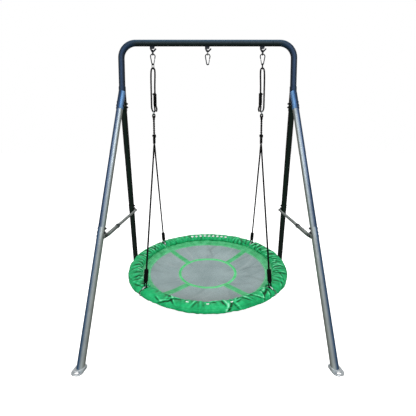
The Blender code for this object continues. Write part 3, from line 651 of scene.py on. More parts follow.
def build_leg(side, word, e, e_word):
    """One leg with its foot plate and bolts. e is -1 at the front and 1 at the rear."""
    apex, way = leg_line(side, e)
    upper = Shape()
    profile = [(LEG_START, TUBE_R), (LEG_JOINT - 0.0012, TUBE_R), (LEG_JOINT, TUBE_R - 0.0007),
               (LEG_JOINT + 0.02, TUBE_R - 0.0014)]
    upper.lathe(apex, way, profile)
    # Front legs take the paint with the painted highlight, rear legs the paint in painted shade, above and
    # below the joint.
    upper.make(f"upper_leg_{e_word}_{word}", (mat_front if e < 0 else mat_rear)[side], "frame",
               f"leg_upper_{e_word}_{word}")

    lower = Shape()
    r = TUBE_R + 0.0003
    rows = turned(apex, way, [(LEG_JOINT + GAP, TUBE_R - 0.0012), (LEG_JOINT + GAP, r - 0.0003),
                              (LEG_JOINT + 0.0010, r), (LEG_JOINT + 0.064, r), (LEG_JOINT + 0.068, TUBE_R),
                              (1.40, TUBE_R)])
    last = rows[-1] + way * ((PLATE_T + GAP - rows[-1][:, 2]) / way[2])[:, None]
    rows[-1] = last
    lower.solid(rows)
    lower.make(f"lower_leg_{e_word}_{word}", (mat_lower if e < 0 else mat_rear)[side], "frame",
               f"leg_lower_{e_word}_{word}")

    plate = Shape()
    foot = V(side * FOOT_X, e * FOOT_Y, 0)
    out = unit(foot - V(side * TOP_X, 0, 0))
    sideways = np.cross(Z, out)
    tip, heel = 0.022, 0.018
    outline = []
    for u, v, radius, start, steps in (
        (PLATE_FRONT - tip, PLATE_HALF - tip, tip, 0, 12),
        (heel - PLATE_BACK, PLATE_HALF - heel, heel, 90, 10),
        (heel - PLATE_BACK, heel - PLATE_HALF, heel, 180, 10),
        (PLATE_FRONT - tip, tip - PLATE_HALF, tip, 270, 12),
    ):
        turns = np.radians(start + 90 * np.arange(steps + 1) / steps)
        outline += [(u + radius * math.cos(a), v + radius * math.sin(a)) for a in turns]
    outline = np.array(outline)
    hole_at, edge = 0.030, 0.0009
    angle = np.arctan2(outline[:, 1], outline[:, 0] - hole_at)
    hole = np.stack([hole_at + 0.0070 * np.cos(angle), 0.0110 * np.sin(angle)], 1)
    inward = outline - unit_rows(outline - np.array((0.007, 0.0))) * edge
    outset = hole + unit_rows(hole - np.array((hole_at, 0.0))) * edge
    profile = ((outline, 0.0), (outline, PLATE_T - edge), (inward, PLATE_T), (outset, PLATE_T),
               (hole, PLATE_T - edge), (hole, 0.0))
    plate.grid([foot + flat[:, :1] * out + flat[:, 1:] * sideways + Z * z for flat, z in profile], loop=True)
    bead(plate, last + np.array((0, 0, 0.0004)), 0.0022, side * e)
    plate.make(f"foot_plate_visual_{e_word}_{word}", mat_plate, "frame",
               f"foot_plate_{e_word}_{word}")

    bolts = Shape()
    cross = unit(X * side - way * (way @ X) * side)
    for s, radius in ((0.078, SOCKET_R), (0.100, SOCKET_R), (LEG_JOINT + 0.008, r), (LEG_JOINT + 0.029, r)):
        through_bolt(bolts, apex + way * s, cross, radius)
    bolts.make(f"leg_bolts_{e_word}_{word}", mat_bolt, "frame")


def unit_rows(rows):
    return rows / np.linalg.norm(rows, axis=1)[:, None]


def build_brace(side, word):
    """A side brace: a tube that telescopes into another through a collar, bolted to both legs."""
    share = (APEX_Z - BRACE_Z) / APEX_Z
    leg_x = TOP_X + (FOOT_X - TOP_X) * share
    tab_x = leg_x - TUBE_R - 0.0015 - 2 * GAP
    axis_x = tab_x - 0.0095
    leg_y = FOOT_Y * share
    angles = full_turn(32)

    def section(x, y, half_x, half_z):
        return np.stack([side * x + half_x * np.cos(angles), np.full(32, y),
                         BRACE_Z + half_z * np.sin(angles)], 1)

    def end_rings(end, radius):
        """The tube's end, squashed against the leg."""
        rows = []
        halves = ((0.0135, 0.0030, 0.0060), (0.0128, 0.0044, 0.0105), (0.0090, 0.0052, 0.0128),
                  (-0.0060, 0.0054, 0.0135), (-0.0140, 0.0068, 0.0130),
                  (-0.0240, radius * 0.90, radius * 1.06), (-0.0330, radius, radius))
        for along, half_x, half_z in halves:
            centre = tab_x + 0.0015 - min(half_x, radius)
            rows.append(section(centre, end * (leg_y + along), half_x, half_z))
        rows.append(section(axis_x, end * (leg_y - 0.0400), radius, radius))
        return rows

    outer = Shape()
    rows = end_rings(-1, BRACE_OUT_R)
    rows += [section(axis_x, BRACE_SEAM - 0.001, BRACE_OUT_R, BRACE_OUT_R),
             section(axis_x, BRACE_SEAM, BRACE_OUT_R - 0.0006, BRACE_OUT_R - 0.0006),
             section(axis_x, BRACE_SEAM, 0.0097, 0.0097)]
    outer.solid(rows)
    outer.make(f"brace_outer_tube_{word}", mat_brace, "frame", f"brace_front_{word}")
    inner = Shape()
    rows = end_rings(1, BRACE_IN_R)
    rows.append(section(axis_x, BRACE_SEAM - 0.05, BRACE_IN_R, BRACE_IN_R))
    inner.solid(rows)
    inner.make(f"brace_inner_tube_{word}", mat_brace, "frame", f"brace_rear_{word}")

    collar = Shape()
    centre = V(side * axis_x, BRACE_SEAM - 0.012, BRACE_Z)
    collar.lathe(centre, Y, [
        (0, 0.0116), (0.0004, 0.0128), (0.0020, 0.0135), (0.0060, 0.0135), (0.0066, 0.0128),
        (0.0080, 0.0128), (0.0086, 0.0135), (0.0142, 0.0135), (0.0158, 0.0126), (0.0160, 0.0100)])
    out = unit(V(-side * 0.7, 0, 0.7))
    lock = [(0, 0.0034), (0.0035, 0.0034), (0.0045, 0.0026), (0.0047, 0.0004)]
    collar.lathe(V(side * axis_x, BRACE_SEAM - 0.004, BRACE_Z) + out * 0.0125, out, lock, 16)
    collar.make(f"brace_collar_visual_{word}", mat_plastic, "frame", f"brace_collar_{word}")

    bolts = Shape()
    for end in (-1, 1):
        at = V(side * (tab_x - 0.0090), end * leg_y, BRACE_Z)
        out = V(-side, 0, 0)
        bolts.lathe(at + out * 0.0012, out, [(0, 0.0075), (0.0016, 0.0075), (0.0019, 0.0070)], 24)
        bolts.solid(hexagon(at + out * 0.0030, out, 0.0110, 0.0048))
        bolts.lathe(at + out * 0.0030, out, [(0, 0.0031), (0.0068, 0.0031), (0.0080, 0.0024)], 16)
        far = V(side * (leg_x + TUBE_R - 0.0010), end * leg_y, BRACE_Z)
        head = [(0, 0.0068), (0.0012, 0.0068), (0.0026, 0.0050), (0.0032, 0.0024), (0.0033, 0.0003)]
        bolts.lathe(far, -out, head, 24)
    button = V(side * axis_x, -0.205, BRACE_Z + BRACE_OUT_R - 0.0006)
    bolts.lathe(button, Z, [(0, 0.0032), (0.0018, 0.0032), (0.0030, 0.0022), (0.0033, 0.0003)], 16)
    bolts.make(f"brace_bolts_{word}", mat_bolt, "frame")


# ---------------------------------------------------------------- hanging hardware

def build_hook(x, word):
    """Bar hook cut from plate: a throat open to one side, with eased edges and welds to the crossbar."""
    throat = V(x, 0, THROAT_Z)
    outside = arc(throat, X, Z, THROAT_R + HOOK_WEB, 215, 315, 18)
    inside = arc(throat, X, Z, THROAT_R, 315, 180, 18)
    prong = unit(X + Z) * 0.018
    tip_out, tip_in = outside[-1] + prong, inside[0] + prong * 0.97
    middle, half = (tip_out + tip_in) / 2, np.linalg.norm(tip_out - tip_in) / 2
    tip = arc(middle, unit(tip_out - tip_in), unit(X + Z), half, 15, 165, 8)
    top, low = BAR_Z - TUBE_R + 0.0012, THROAT_Z + 0.007
    lug = [V(x - THROAT_R, 0, low), V(x + 0.0085, 0, low + 0.001), V(x + 0.0105, 0, low + 0.004),
           V(x + 0.012, 0, top), V(x - 0.017, 0, top), V(x - 0.0170, 0, low)]
    outline = np.array([*outside, *tip, *inside, *lug])
    ways = travel(outline, True)
    middle = outline.mean(0)
    inset = outline + np.cross(ways, Y) * -0.0007
    if np.linalg.norm(inset - middle, axis=1).sum() > np.linalg.norm(outline - middle, axis=1).sum():
        inset = outline + np.cross(ways, Y) * 0.0007
    hook = Shape()
    hook.solid([inset + Y * -0.0035, outline + Y * -0.0028, outline + Y * 0.0028, inset + Y * 0.0035])
    for y in (-0.0042, 0.0042):
        z = BAR_Z - math.sqrt(TUBE_R**2 - y**2)
        bead(hook, np.array([V(x - 0.0175, y, z), V(x + 0.0125, y, z)]), 0.0019, x * 9, loop=False)
    hook.make(f"bar_hook_{word}", mat_hook, "frame", f"hanger_hook_{word}", sharp=50)


def snap_side(facing):
    """The ends of a snap hook's straight side on its gate's side, at x 0, and its lean in degrees."""
    lean = math.asin((SNAP_TOP_R - SNAP_LOW_R) / (SNAP_TOP_Z - SNAP_LOW_Z))
    out = V(facing * math.cos(lean), 0, -math.sin(lean))
    return V(0, 0, SNAP_LOW_Z) + out * SNAP_LOW_R, V(0, 0, SNAP_TOP_Z) + out * SNAP_TOP_R, math.degrees(lean)


def build_hanger(x, facing, word, ring_body, hook_body):
    """A bar hook, swivel ring and snap hook with its gate. facing is the gate's side, -1 or 1."""
    build_hook(x, word)
    ring = Shape()
    ring.hoop(circle(V(x, 0, RING_Z), Y, Z, RING_R, 48), RING_WIRE, 14, X)
    ring.make(f"swivel_ring_visual_{word}", mat_steel, ring_body, f"swivel_ring_{word}")

    low, high, lean = snap_side(facing)
    shift = X * x
    across = X * facing
    hook = Shape()
    start = low + (high - low) * 0.67
    path = [start, start + (high - start) * 0.15]
    path += list(arc(V(0, 0, SNAP_TOP_Z), across, Z, SNAP_TOP_R, -lean, 180 + lean, 36))
    path += list(arc(V(0, 0, SNAP_LOW_Z), across, Z, SNAP_LOW_R, 180 + lean, 360 - lean, 24))
    path += [low + (high - low) * 0.05, low + (high - low) * 0.09]
    path = resample(np.array(path) + shift, 0.0012)
    hook.rod(path, rounded_ends(path, SNAP_WIRE), 16, Y)
    pin = low + (high - low) * 0.17 + shift
    profile = [(0, 0.0008), (0.0003, 0.0013), (0.0069, 0.0013), (0.0072, 0.0008)]
    hook.lathe(pin - Y * 0.0036, Y, profile, 14)
    hook.make(f"snap_hook_visual_{word}", mat_steel, hook_body, f"snap_hook_{word}")

    gate = Shape()
    profile = ((0.115, 0.0010), (0.13, 0.0022), (0.17, 0.0027), (0.25, 0.0026), (0.40, 0.0025),
               (0.56, 0.0025), (0.60, 0.0023), (0.63, 0.0016), (0.645, 0.0005))
    gate.rod([low + (high - low) * share + shift for share, _ in profile], [r for _, r in profile], 14, Y)
    gate.make(f"snap_gate_visual_{word}", mat_gate, f"gate_{word}", f"snap_gate_{word}")


# ---------------------------------------------------------------- ropes

def hung(side, points):
    """Points of a rope set, from pairs of the distance inwards from its hanging line and the height."""
    return np.array([V(side * (HANG_X - inward), 0, z) for inward, z in points])


def rope_rows(path, radius, sides=14, closed_ends=True, seed=1):
    """A braided rope's surface: round, with the braid's faint lumps."""
    wobble = 0.03
    at = np.arange(len(path))
    angles = full_turn(sides)
    r = radius * (1 + wobble * np.sin(at[:, None] * 0.9 + 3 * angles + seed)
                  + wobble * 0.6 * np.sin(at[:, None] * 0.37 - 2 * angles))
    if closed_ends:
        r[0] *= 0.05
        r[-1] *= 0.05
        r[1] *= 0.8
        r[-2] *= 0.8
    return sweep(path, r, sides)


def coil(centre, axis, radius, low, high, turns, start=0.0):
    """Points of a helix round a line."""
    a, b = crosswise(axis, Y, X)
    t = np.linspace(0, 1, int(turns * 20))[:, None]
    turn = start + 2 * math.pi * turns * t
    return centre + axis * (low + (high - low) * t) + (a * np.cos(turn) + b * np.sin(turn)) * radius


def build_link(side, word):
    """Oval link between the snap hook and the rope loop, turned partly edge-on."""
    turn = math.radians(68)
    across = V(math.cos(turn), math.sin(turn), 0)
    top = V(side * HANG_X, 0, LINK_TOP - LINK_HALF)
    low = V(side * HANG_X, 0, LINK_LOW + LINK_HALF)
    path = np.vstack([arc(top, across, Z, LINK_HALF, 0, 180, 20),
                      arc(low, across, Z, LINK_HALF, 180, 360, 20)])
    link = Shape()
    link.hoop(path, LINK_WIRE, 12, np.cross(across, Z))
    link.make(f"oval_link_visual_{word}", mat_steel, f"rope_{word}", f"oval_link_{word}")


def build_loop(side, word):
    """Adjustable loop, from the slide knot up round the link, down round the eye ring and back."""
    rope_top = LINK_LOW + LINK_WIRE + 3 * GAP + ROPE_R
    pitch_z = EYE_RING_Z + EYE_RING_R - EYE_RING_WIRE - GAP - ROPE_R
    route = [
        (ADJ_IN, ADJ_TOP - 0.004), (0.0092, 1.4300), (0.0108, 1.4800), (0.0112, 1.5120), (0.0096, 1.5290),
        (0.0060, 1.5360), (0.0, rope_top), (-0.0064, 1.5358), (-0.0102, 1.5285), (-0.0128, 1.5080),
        (-0.0138, 1.4600), (-0.0134, 1.3800), (-0.0130, 1.3100), (-0.0116, 1.2920), (-0.0082, 1.2800),
        (-0.0052, 1.2735), (0.0, pitch_z), (0.0052, 1.2735), (0.0076, 1.2800), (0.0064, 1.2940),
        (0.0050, ADJ_LOW + 0.003),
    ]
    path = resample(spline(hung(side, route), 10), 0.0022)
    loop = Shape()
    height = path[:, 2]
    swell = (smoothstep(rope_top - 0.001, rope_top - 0.020, height)
             * smoothstep(pitch_z + 0.003, pitch_z + 0.02, height))
    loop.solid(rope_rows(path, ROPE_R - 0.0002 + 0.0007 * swell[:, None], seed=side))
    loop = loop.make(f"rope_loop_visual_{word}", mat_rope, f"rope_{word}", f"rope_loop_{word}", sharp=0)


def build_knot(side, word):
    """Slide knot that wraps round the rope, with a nub at its top and the rope's tail below."""
    knot = Shape()
    centre = hung(side, [(ADJ_IN, 0.0)])[0]
    profile = [(0, 0.003), (0.002, 0.0062), (0.079, 0.0060), (0.081, 0.003)]
    knot.lathe(centre + Z * (ADJ_LOW + 0.001), Z, profile, 20)
    wraps = coil(centre, Z, 0.0062, ADJ_LOW + 0.0045, ADJ_TOP - 0.0060, 8.6, 0.6)
    knot.rod(wraps, rounded_ends(wraps, 0.0047), 10)
    nub_z = ADJ_TOP - 0.012
    nub = spline([centre + V(side * out, y, nub_z + up)
                  for out, y, up in ((0.004, -0.004, 0.0), (0.009, -0.003, 0.001), (0.0135, 0.0, 0.001))], 6)
    knot.rod(nub, rounded_ends(nub, 0.0046), 10)
    tail = [(0.0120, 1.3240), (0.0150, 1.3060), (0.0180, 1.2960), (0.0190, 1.2860), (0.0170, 1.2780),
            (0.0135, 1.2725)]
    tail = resample(spline(hung(side, tail), 8), 0.0020)
    knot.solid(rope_rows(tail, 0.0050))
    knot.make(f"slide_knot_{word}", mat_rope, f"rope_{word}", f"rope_adjuster_{word}", sharp=0)


def build_eye_ring(side, word):
    ring = Shape()
    ring.hoop(circle(V(side * HANG_X, 0, EYE_RING_Z), Y, Z, EYE_RING_R, 48), EYE_RING_WIRE, 14, X)
    ring.make(f"eye_ring_visual_{word}", mat_zinc, f"eye_{word}", f"eye_ring_{word}")


def build_neck(side, word):
    """A bight through the eye ring, two parts twisted together, and a knot and whipping round them."""
    neck = Shape()
    base = V(side * HANG_X, 0, 0)
    bight_z = EYE_RING_Z - EYE_RING_R
    bight = base + Z * bight_z
    r = 0.0038
    hook_r = EYE_RING_WIRE + GAP + r + 0.0003
    share = np.linspace(0, 1, 60)
    z = bight_z - 0.012 + (KNOT_Z + 0.006 - (bight_z - 0.012)) * share
    offset = 0.0027 + 0.0014 * (1 - smoothstep(0, 0.2, share))
    twist = 2 * math.pi * 4.0 * share
    for way in (1, -1):
        half = np.stack([base[0] + way * offset * np.cos(twist), way * offset * np.sin(twist), z], 1)
        first = bight + X * way * hook_r
        out = first - bight
        lead = spline([bight + Z * hook_r, first, (first + half[0]) / 2 + out * 0.10, half[0]], 6)
        part = np.vstack([arc(bight, unit(out), Z, hook_r, 88, 4, 8), lead[-10:], half[1:]])
        part = resample(part, 0.0022)
        height = part[:, 2]
        full = (smoothstep(bight_z - 0.034, bight_z - 0.014, height)
                * smoothstep(bight_z - 0.001, bight_z - 0.008, height))
        neck.solid(rope_rows(part, r + 0.0017 * full[:, None], 12, closed_ends=False))
    turns = full_turn(30)
    for k, (tilt, lift) in enumerate(((0.35, 0.0034), (-0.35, -0.0034), (0.1, 0.0))):
        ring_path = np.stack([base[0] + 0.0074 * np.cos(turns), 0.0074 * np.sin(turns),
                              KNOT_Z + lift + 0.0074 * tilt * np.sin(turns + k)], 1)
        neck.hoop(ring_path, 0.0047, 10)
    profile = [(0, 0.004), (0.002, 0.0068), (0.044, 0.0068), (0.050, 0.004)]
    neck.lathe(base + Z * (NECK_LOW + 0.001), Z, profile, 20)
    wraps = coil(base, Z, 0.0066, NECK_LOW + 0.002, KNOT_Z - 0.008, 13)
    neck.rod(wraps, rounded_ends(wraps, 0.0020), 8)
    neck.make(f"rope_neck_visual_{word}", mat_rope, f"strands_{word}", f"rope_neck_{word}", sharp=0)


def build_strand(side, word, end, end_word):
    """One strand from the neck to the rim, with its eye round the rim clip and its splice sleeve."""
    body = f"strands_{word}"
    low = tipped(V(side * HANG_X, end * CLIP_Y, EYE_LOW))
    high = V(side * HANG_X, end * 0.0052, NECK_LOW - 0.0025)
    way = unit(high - low)
    tangent = tipped(RIM_Z * Z + np.cross(Z, unit(V(side * HANG_X, end * CLIP_Y, 0)))) - RIM_Z * Z
    wide = unit(tangent - way * (tangent @ way))
    strand = Shape()
    path = resample(np.array([high + way * 0.004, low + way * 0.040]), 0.0030)
    strand.solid(rope_rows(path, ROPE_SHOWN / 2, 14, seed=side * 3 + end))
    turn = low + way * EYE_HALF
    legs = ((0.052, 0.0030), (0.034, 0.0046), (0.022, 0.0096))
    eye = [*(low + way * up - wide * out for up, out in legs), *arc(turn, wide, way, EYE_HALF, 180, 360, 12),
           *(low + way * up + wide * out for up, out in reversed(legs))]
    eye = resample(spline(eye, 3), 0.0016)
    eye_shape = Shape()
    away = smoothstep(EYE_HALF + 0.006, 0.034, (eye - low) @ way)[:, None]
    eye_shape.solid(rope_rows(eye, EYE_R - 0.0001 + 0.0017 * away, 12, closed_ends=False))
    eye_piece = eye_shape.make(f"rope_eye_{end_word}_{word}", mat_rope, body, sharp=0)
    piece = strand.make(f"rope_strand_visual_{end_word}_{word}", mat_rope, body,
                        f"rope_strand_{end_word}_{word}", sharp=0)

    sleeve = Shape()
    low_end, top_end = 0.030, 0.097
    profile = [(low_end, 0.0062), (low_end + 0.002, 0.0104), (low_end + 0.006, 0.0119)]
    for s in low_end + 0.010 + 0.0062 * np.arange(9):
        profile += [(s, 0.0124), (s + 0.0022, 0.0124), (s + 0.0034, 0.0112), (s + 0.0048, 0.0112)]
    profile += [(top_end - 0.002, 0.0112), (top_end, 0.0084), (top_end + 0.0006, 0.0040)]
    sleeve.lathe(low, way, profile, 24)
    part = sleeve.make(f"splice_sleeve_{end_word}_{word}", mat_cord, body)


# ---------------------------------------------------------------- seat

def mat_height(x, y, only_crease=False):
    """Upper face of the sagging mat, with creases that run in from the rim."""
    r = np.hypot(x, y)
    a = np.arctan2(y, x)
    share = r / MAT_EDGE
    z = RIM_Z - MAT_DROP - MAT_SAG * (1 - share**2)
    crease = np.zeros_like(r)
    pick = random.Random(11)
    for _ in range(54):
        at, width = pick.uniform(-math.pi, math.pi), pick.uniform(0.004, 0.011)
        bend = pick.uniform(-1.1, 1.1)
        gap = np.angle(np.exp(1j * (a - at - bend * (share - 0.6)))) * r
        near = np.exp(-(((share - pick.uniform(0.35, 1.0)) / pick.uniform(0.12, 0.35)) ** 2))
        crease += pick.uniform(0.3, 1.0) * np.exp(-((gap / width) ** 2)) * near * pick.choice((-1, 1))
    fade = smoothstep(0.10, 0.60, share)
    if only_crease:
        return crease * fade
    return z + crease * fade * 0.0016 + ripple(x, y, 5, 0.05, 0.16) * 0.0007


def lay_on_mat(shape, flat, lift, width):
    """A strip with turned-down edges, from rows of (x, y) points across it."""
    flat = np.asarray(flat, float)
    z = mat_height(flat[..., 0], flat[..., 1])
    share = np.linspace(-1, 1, flat.shape[1])
    rise = lift * (1 - np.abs(share) ** 12)
    rows = np.dstack([flat[..., 0], flat[..., 1], z + rise - 0.0004])
    middle = flat[:, flat.shape[1] // 2]
    along = np.concatenate([[0], np.cumsum(np.linalg.norm(np.diff(middle, axis=0), axis=1))])
    u = np.repeat(along[:, None], flat.shape[1], 1)
    v = np.repeat((share * width / 2)[None], flat.shape[0], 0)
    shape.grid(rows, wrap=False, uv=(u, v))


def annulus(inner, outer, around=240, across=9):
    angles = np.linspace(0, 2 * math.pi, around + 1)
    radii = np.linspace(inner, outer, across)
    return np.dstack([np.outer(np.cos(angles), radii), np.outer(np.sin(angles), radii)])


def build_mat():
    """The mesh mat with its edge band, ring and diagonal straps."""
    mat = Shape()
    radii = np.array([0.004, *np.linspace(0.012, MAT_EDGE, 70)])
    angles = full_turn(200)
    x, y = np.outer(radii, np.cos(angles)), np.outer(radii, np.sin(angles))
    z = mat_height(x, y)
    top = np.dstack([x, y, z])
    under = np.dstack([x, y, z - 0.0032])[::-1]
    # The creases' depth, kept on the mat for painted shade in its creases and a painted highlight on their
    # crowns.
    crease = np.clip(mat_height(x, y, True) * 0.9, -1, 1)
    mat.solid(np.concatenate([top, under]), fold_shade=np.concatenate([crease, np.zeros_like(crease)]))
    mat = mat.make("seat_mesh_mat", mat_mesh, "saucer", "seat_mat", sharp=60)

    bands = Shape()
    lay_on_mat(bands, annulus(0.367, MAT_EDGE + 0.006), 0.0020, 0.045)
    # The band's outer edge turns up to the rim, under the covers.
    turns = np.linspace(0, 2 * math.pi, 241)[:, None]
    reach = np.array([0.4085, 0.4125, 0.4165, 0.4230, 0.4330, 0.4440])
    rise = np.array([-0.0205, -0.0135, -0.0075, -0.0020, 0.0005, 0.0020])
    skirt = np.dstack([np.cos(turns) * reach, np.sin(turns) * reach, RIM_Z + rise + 0 * turns])
    across = np.linspace(-0.010, 0.010, len(reach))
    bands.grid(skirt, wrap=False, uv=(RIM_R * turns + 0 * reach, across + 0 * turns))
    bands = bands.make("mat_edge_band", mat_band, "saucer", sharp=0)
    ring = Shape()
    lay_on_mat(ring, annulus(0.172, 0.191), 0.0036, 0.019)
    ring = ring.make("mat_ring_band", mat_ring, "saucer", sharp=0)
    straps = Shape()
    for k, degrees in enumerate((43.0, 136.0, 231.0, 306.0)):
        way = V(math.cos(math.radians(degrees)), math.sin(math.radians(degrees)), 0)[:2]
        cross = np.array((-way[1], way[0]))
        along = np.linspace(0.183, 0.378, 40)[:, None, None]
        across = np.linspace(-0.0205, 0.0205, 9)[None, :, None]
        sway = 0.0012 * np.sin(along * 40 + k)
        lay_on_mat(straps, along * way + (across + sway) * cross, 0.0028, 0.041)
    straps = straps.make("mat_diagonal_straps", mat_strap, "saucer", sharp=0)


def ridge(gap, width):
    """A crease with a crown beside it: -1 in the crease, about 0.7 on the crown."""
    return 0.7 * np.exp(-(((gap - 1.7 * width) / width) ** 2)) - np.exp(-((gap / width) ** 2))


def cover_surface(start, end, seed, pleats, folds):
    """Points of one padded cover segment, from one rim clip to the next, and for each point the painted
    shade and highlight of its folds, its hem and its underside.
    """
    length = (end - start) * RIM_R
    along = np.linspace(0.0035, length - 0.0035, int(length / 0.0024))
    sides = 96
    phi = full_turn(sides)
    s, p = np.meshgrid(along, phi, indexing="ij")
    # phi 0 points outwards, a quarter turn is up, half a turn points inwards.
    cosine, sine = np.cos(p), np.sin(p)
    near = np.minimum(s, length - s)
    v = p * 0.038
    pick = random.Random(seed)
    total = np.zeros_like(s)
    at = 0.016
    while at < length - 0.014:
        width = pick.uniform(0.0045, 0.0100)
        window = np.exp(-(((p - pick.uniform(1.5, 2.7)) / pick.uniform(0.55, 1.05)) ** 2))
        gap = s - at - pick.uniform(-0.5, 0.5) * (v - 0.084)
        total += pick.uniform(0.35, 1.0) * pleats * window * ridge(gap, width)
        at += pick.uniform(0.018, 0.036)
    for _ in range(int(4 + length * 26 * folds)):
        centre, where = pick.uniform(0.02, length - 0.02), pick.uniform(0.2, 2.6) * 0.038
        slope = pick.choice((-1, 1)) * pick.uniform(0.25, 1.25)
        long, thin = pick.uniform(0.018, 0.055), pick.uniform(0.0034, 0.0070)
        a = (s - centre) * math.cos(slope) + (v - where) * math.sin(slope)
        b = (v - where) * math.cos(slope) - (s - centre) * math.sin(slope)
        total += np.exp(-((a / long) ** 2)) * ridge(b, thin) * pick.uniform(0.4, 1.0) * folds
    total *= smoothstep(0.004, 0.016, near)
    hem = np.exp(-(((p - 3.35) / 0.16) ** 2))
    gathers = hem * np.sin(s * 2 * math.pi / 0.012 + 2 * np.sin(s * 40))
    lift = total * 0.0052 - hem * 0.0030 + gathers * 0.0013
    lift += ripple(s, v, seed + 50, 0.06, 0.20) * 0.0014 + ripple(s, v, seed + 70, 0.018, 0.05) * 0.0007
    lift = np.where(lift > 0, 0.0032 * np.tanh(lift / 0.0032), lift)
    lift = np.maximum(lift, -0.0075)
    # The cloth rides on a round foam core that is squashed from above and below, and sinks in beside a clip.
    inner_top = smoothstep(-0.35, 0.35, sine) * smoothstep(0.95, 0.25, cosine)
    size = 1 - 0.46 * inner_top * smoothstep(0.019, 0.003, near) - 0.10 * smoothstep(0.022, 0.002, near)
    half_w = PAD_W * size * (1 - 0.05 * smoothstep(0.2, -0.9, cosine))
    half_h = PAD_H * size * np.where(sine > 0, 0.98, 0.84)
    angle = start + s / RIM_R
    # At the front the cover is drawn tighter, and its foam sits a little higher and further in.
    front = smoothstep(0.45, 0.95, -np.sin(angle))
    half_w, half_h = half_w * (1 - 0.18 * front), half_h * (1 - 0.12 * front)
    out_r = half_w * np.sign(cosine) * np.abs(cosine) ** 0.90
    up_r = half_h * np.sign(sine) * np.abs(sine) ** 0.90
    radial = RIM_R - 0.006 * front + out_r + cosine * lift
    height = RIM_Z + 0.004 * front + up_r + sine * lift
    rows = np.dstack([radial * np.cos(angle), radial * np.sin(angle), height])
    # Painted light for the cloth's colour: crowns light and creases dark, light and dark along the gathers,
    # painted shade in the hem's hollow and painted shade on the underside.
    fold_shade = total * 1.45 + 0.25 * gathers - 0.5 * hem - 0.75 * smoothstep(-0.30, -0.85, sine)
    return rows, np.clip(fold_shade, -1, 1)


def build_covers():
    """The padded cover segments, with piping along the seams."""
    plan = (("right", -CORNER, CORNER, 21, 1.0, 0.55), ("rear", CORNER, math.pi - CORNER, 22, 0.45, 0.40),
            ("left", math.pi - CORNER, math.pi + CORNER, 23, 1.1, 0.55),
            ("front", math.pi + CORNER, 2 * math.pi - CORNER, 24, 0.30, 1.0))
    for word, start, end, seed, pleats, folds in plan:
        rows, fold_shade = cover_surface(start, end, seed, pleats, folds)
        shape = Shape()
        shape.solid(rows, fold_shade=fold_shade)
        piece = shape.make(f"rim_cover_{word}", mat_cover, "saucer", f"rim_pad_{word}", sharp=0)
        if word == "rear":
            build_motif(rows)
        if word == "front":
            build_lacing(rows, start, end)
        seam = Shape()
        for q in (0.55, 2.75):
            k = int(round(q / (2 * math.pi) * rows.shape[1]))
            line = rows[4:-4, k]
            centre = np.array([line[:, 0], line[:, 1], np.full(len(line), RIM_Z)]).T
            centre[:, :2] *= (RIM_R / np.hypot(line[:, 0], line[:, 1]))[:, None]
            lifted = line + unit_rows(line - centre) * 0.0004
            seam.rod(lifted, 0.0011, 6)
        seam.make(f"cover_piping_{word}", mat_hem, "saucer")


def build_rim():
    """The rim tube with its four clips, and the black straps that hold the covers beside them."""
    tube = Shape()
    tube.hoop(circle(V(0, 0, RIM_Z), X, Y, RIM_R, 180), 0.0125, 20, Z)
    tube.make("rim_tube_visual", mat_zinc, "saucer", "rim_tube")
    for side, word in SIDES:
        for end, end_word in ENDS:
            out = unit(V(side * HANG_X, end * CLIP_Y, 0))
            tangent = np.cross(Z, out)
            centre = V(side * HANG_X, end * CLIP_Y, CLIP_Z)
            clip = Shape()
            clip.hoop(circle(centre, out, Z, CLIP_R, 56), CLIP_WIRE, 14, tangent)
            clip.make(f"rim_clip_visual_{end_word}_{word}", mat_zinc, "saucer",
                      f"rim_clip_{end_word}_{word}")
            strap = Shape()
            middle = V(side * HANG_X, end * CLIP_Y, RIM_Z)
            turns = np.radians(np.linspace(-172, 58, 60))[:, None]
            path = middle + out * np.cos(turns) * (PAD_W * 0.84) + Z * np.sin(turns) * (PAD_H * 0.86)
            widths = np.linspace(-0.0042, 0.0042, 7)[None, :, None]
            rows = path[:, None, :] + tangent * widths
            ways = travel(path)
            lift = np.cross(ways, tangent)
            if (lift[30] @ (path[30] - middle)) < 0:
                lift = -lift
            rim = rows + lift[:, None, :] * 0.0009 * (1 - np.abs(np.linspace(-1, 1, 7)) ** 6)[None, :, None]
            back = (rows - lift[:, None, :] * 0.0006)[:, ::-1]
            strap.solid(np.concatenate([rim, back], 1))
            strap.make(f"rim_strap_{end_word}_{word}", mat_black_strap, "saucer", sharp=0)


def on_cover(rows, i, k):
    """A point on a cover's grid, at fractions of its steps."""
    i0, k0 = np.floor(i).astype(int), np.floor(k).astype(int)
    a, b = (i - i0)[..., None], (k - k0)[..., None]
    k1 = (k0 + 1) % rows.shape[1]
    near = rows[i0, k0] * (1 - a) + rows[i0 + 1, k0] * a
    far = rows[i0, k1] * (1 - a) + rows[i0 + 1, k1] * a
    return near * (1 - b) + far * b


def build_motif(rows):
    """A row of plain white lozenges printed on the rear cover."""
    motif = Shape()
    step = np.linalg.norm(rows[10:11, 24] - rows[11:12, 24])
    middle = (rows.shape[0] - 1) / 2
    u, w = np.meshgrid(np.linspace(-1, 1, 9), np.linspace(-1, 1, 9), indexing="ij")
    for n in range(9):
        i = middle + (n - 4.3) * 0.036 / step + u * 0.0125 / step
        k = 30.5 + w * 4.6 * (1 - np.abs(u)) ** 0.8
        points = on_cover(rows, i, k)
        flat = points[..., :2] / np.linalg.norm(points[..., :2], axis=2)[..., None]
        ways = points - np.dstack([RIM_R * flat, np.full(points.shape[:2], RIM_Z)])
        motif.grid(points + 0.0007 * ways / np.linalg.norm(ways, axis=2)[..., None], wrap=False)
    motif.make("cover_motif", mat_white, "saucer", sharp=0)


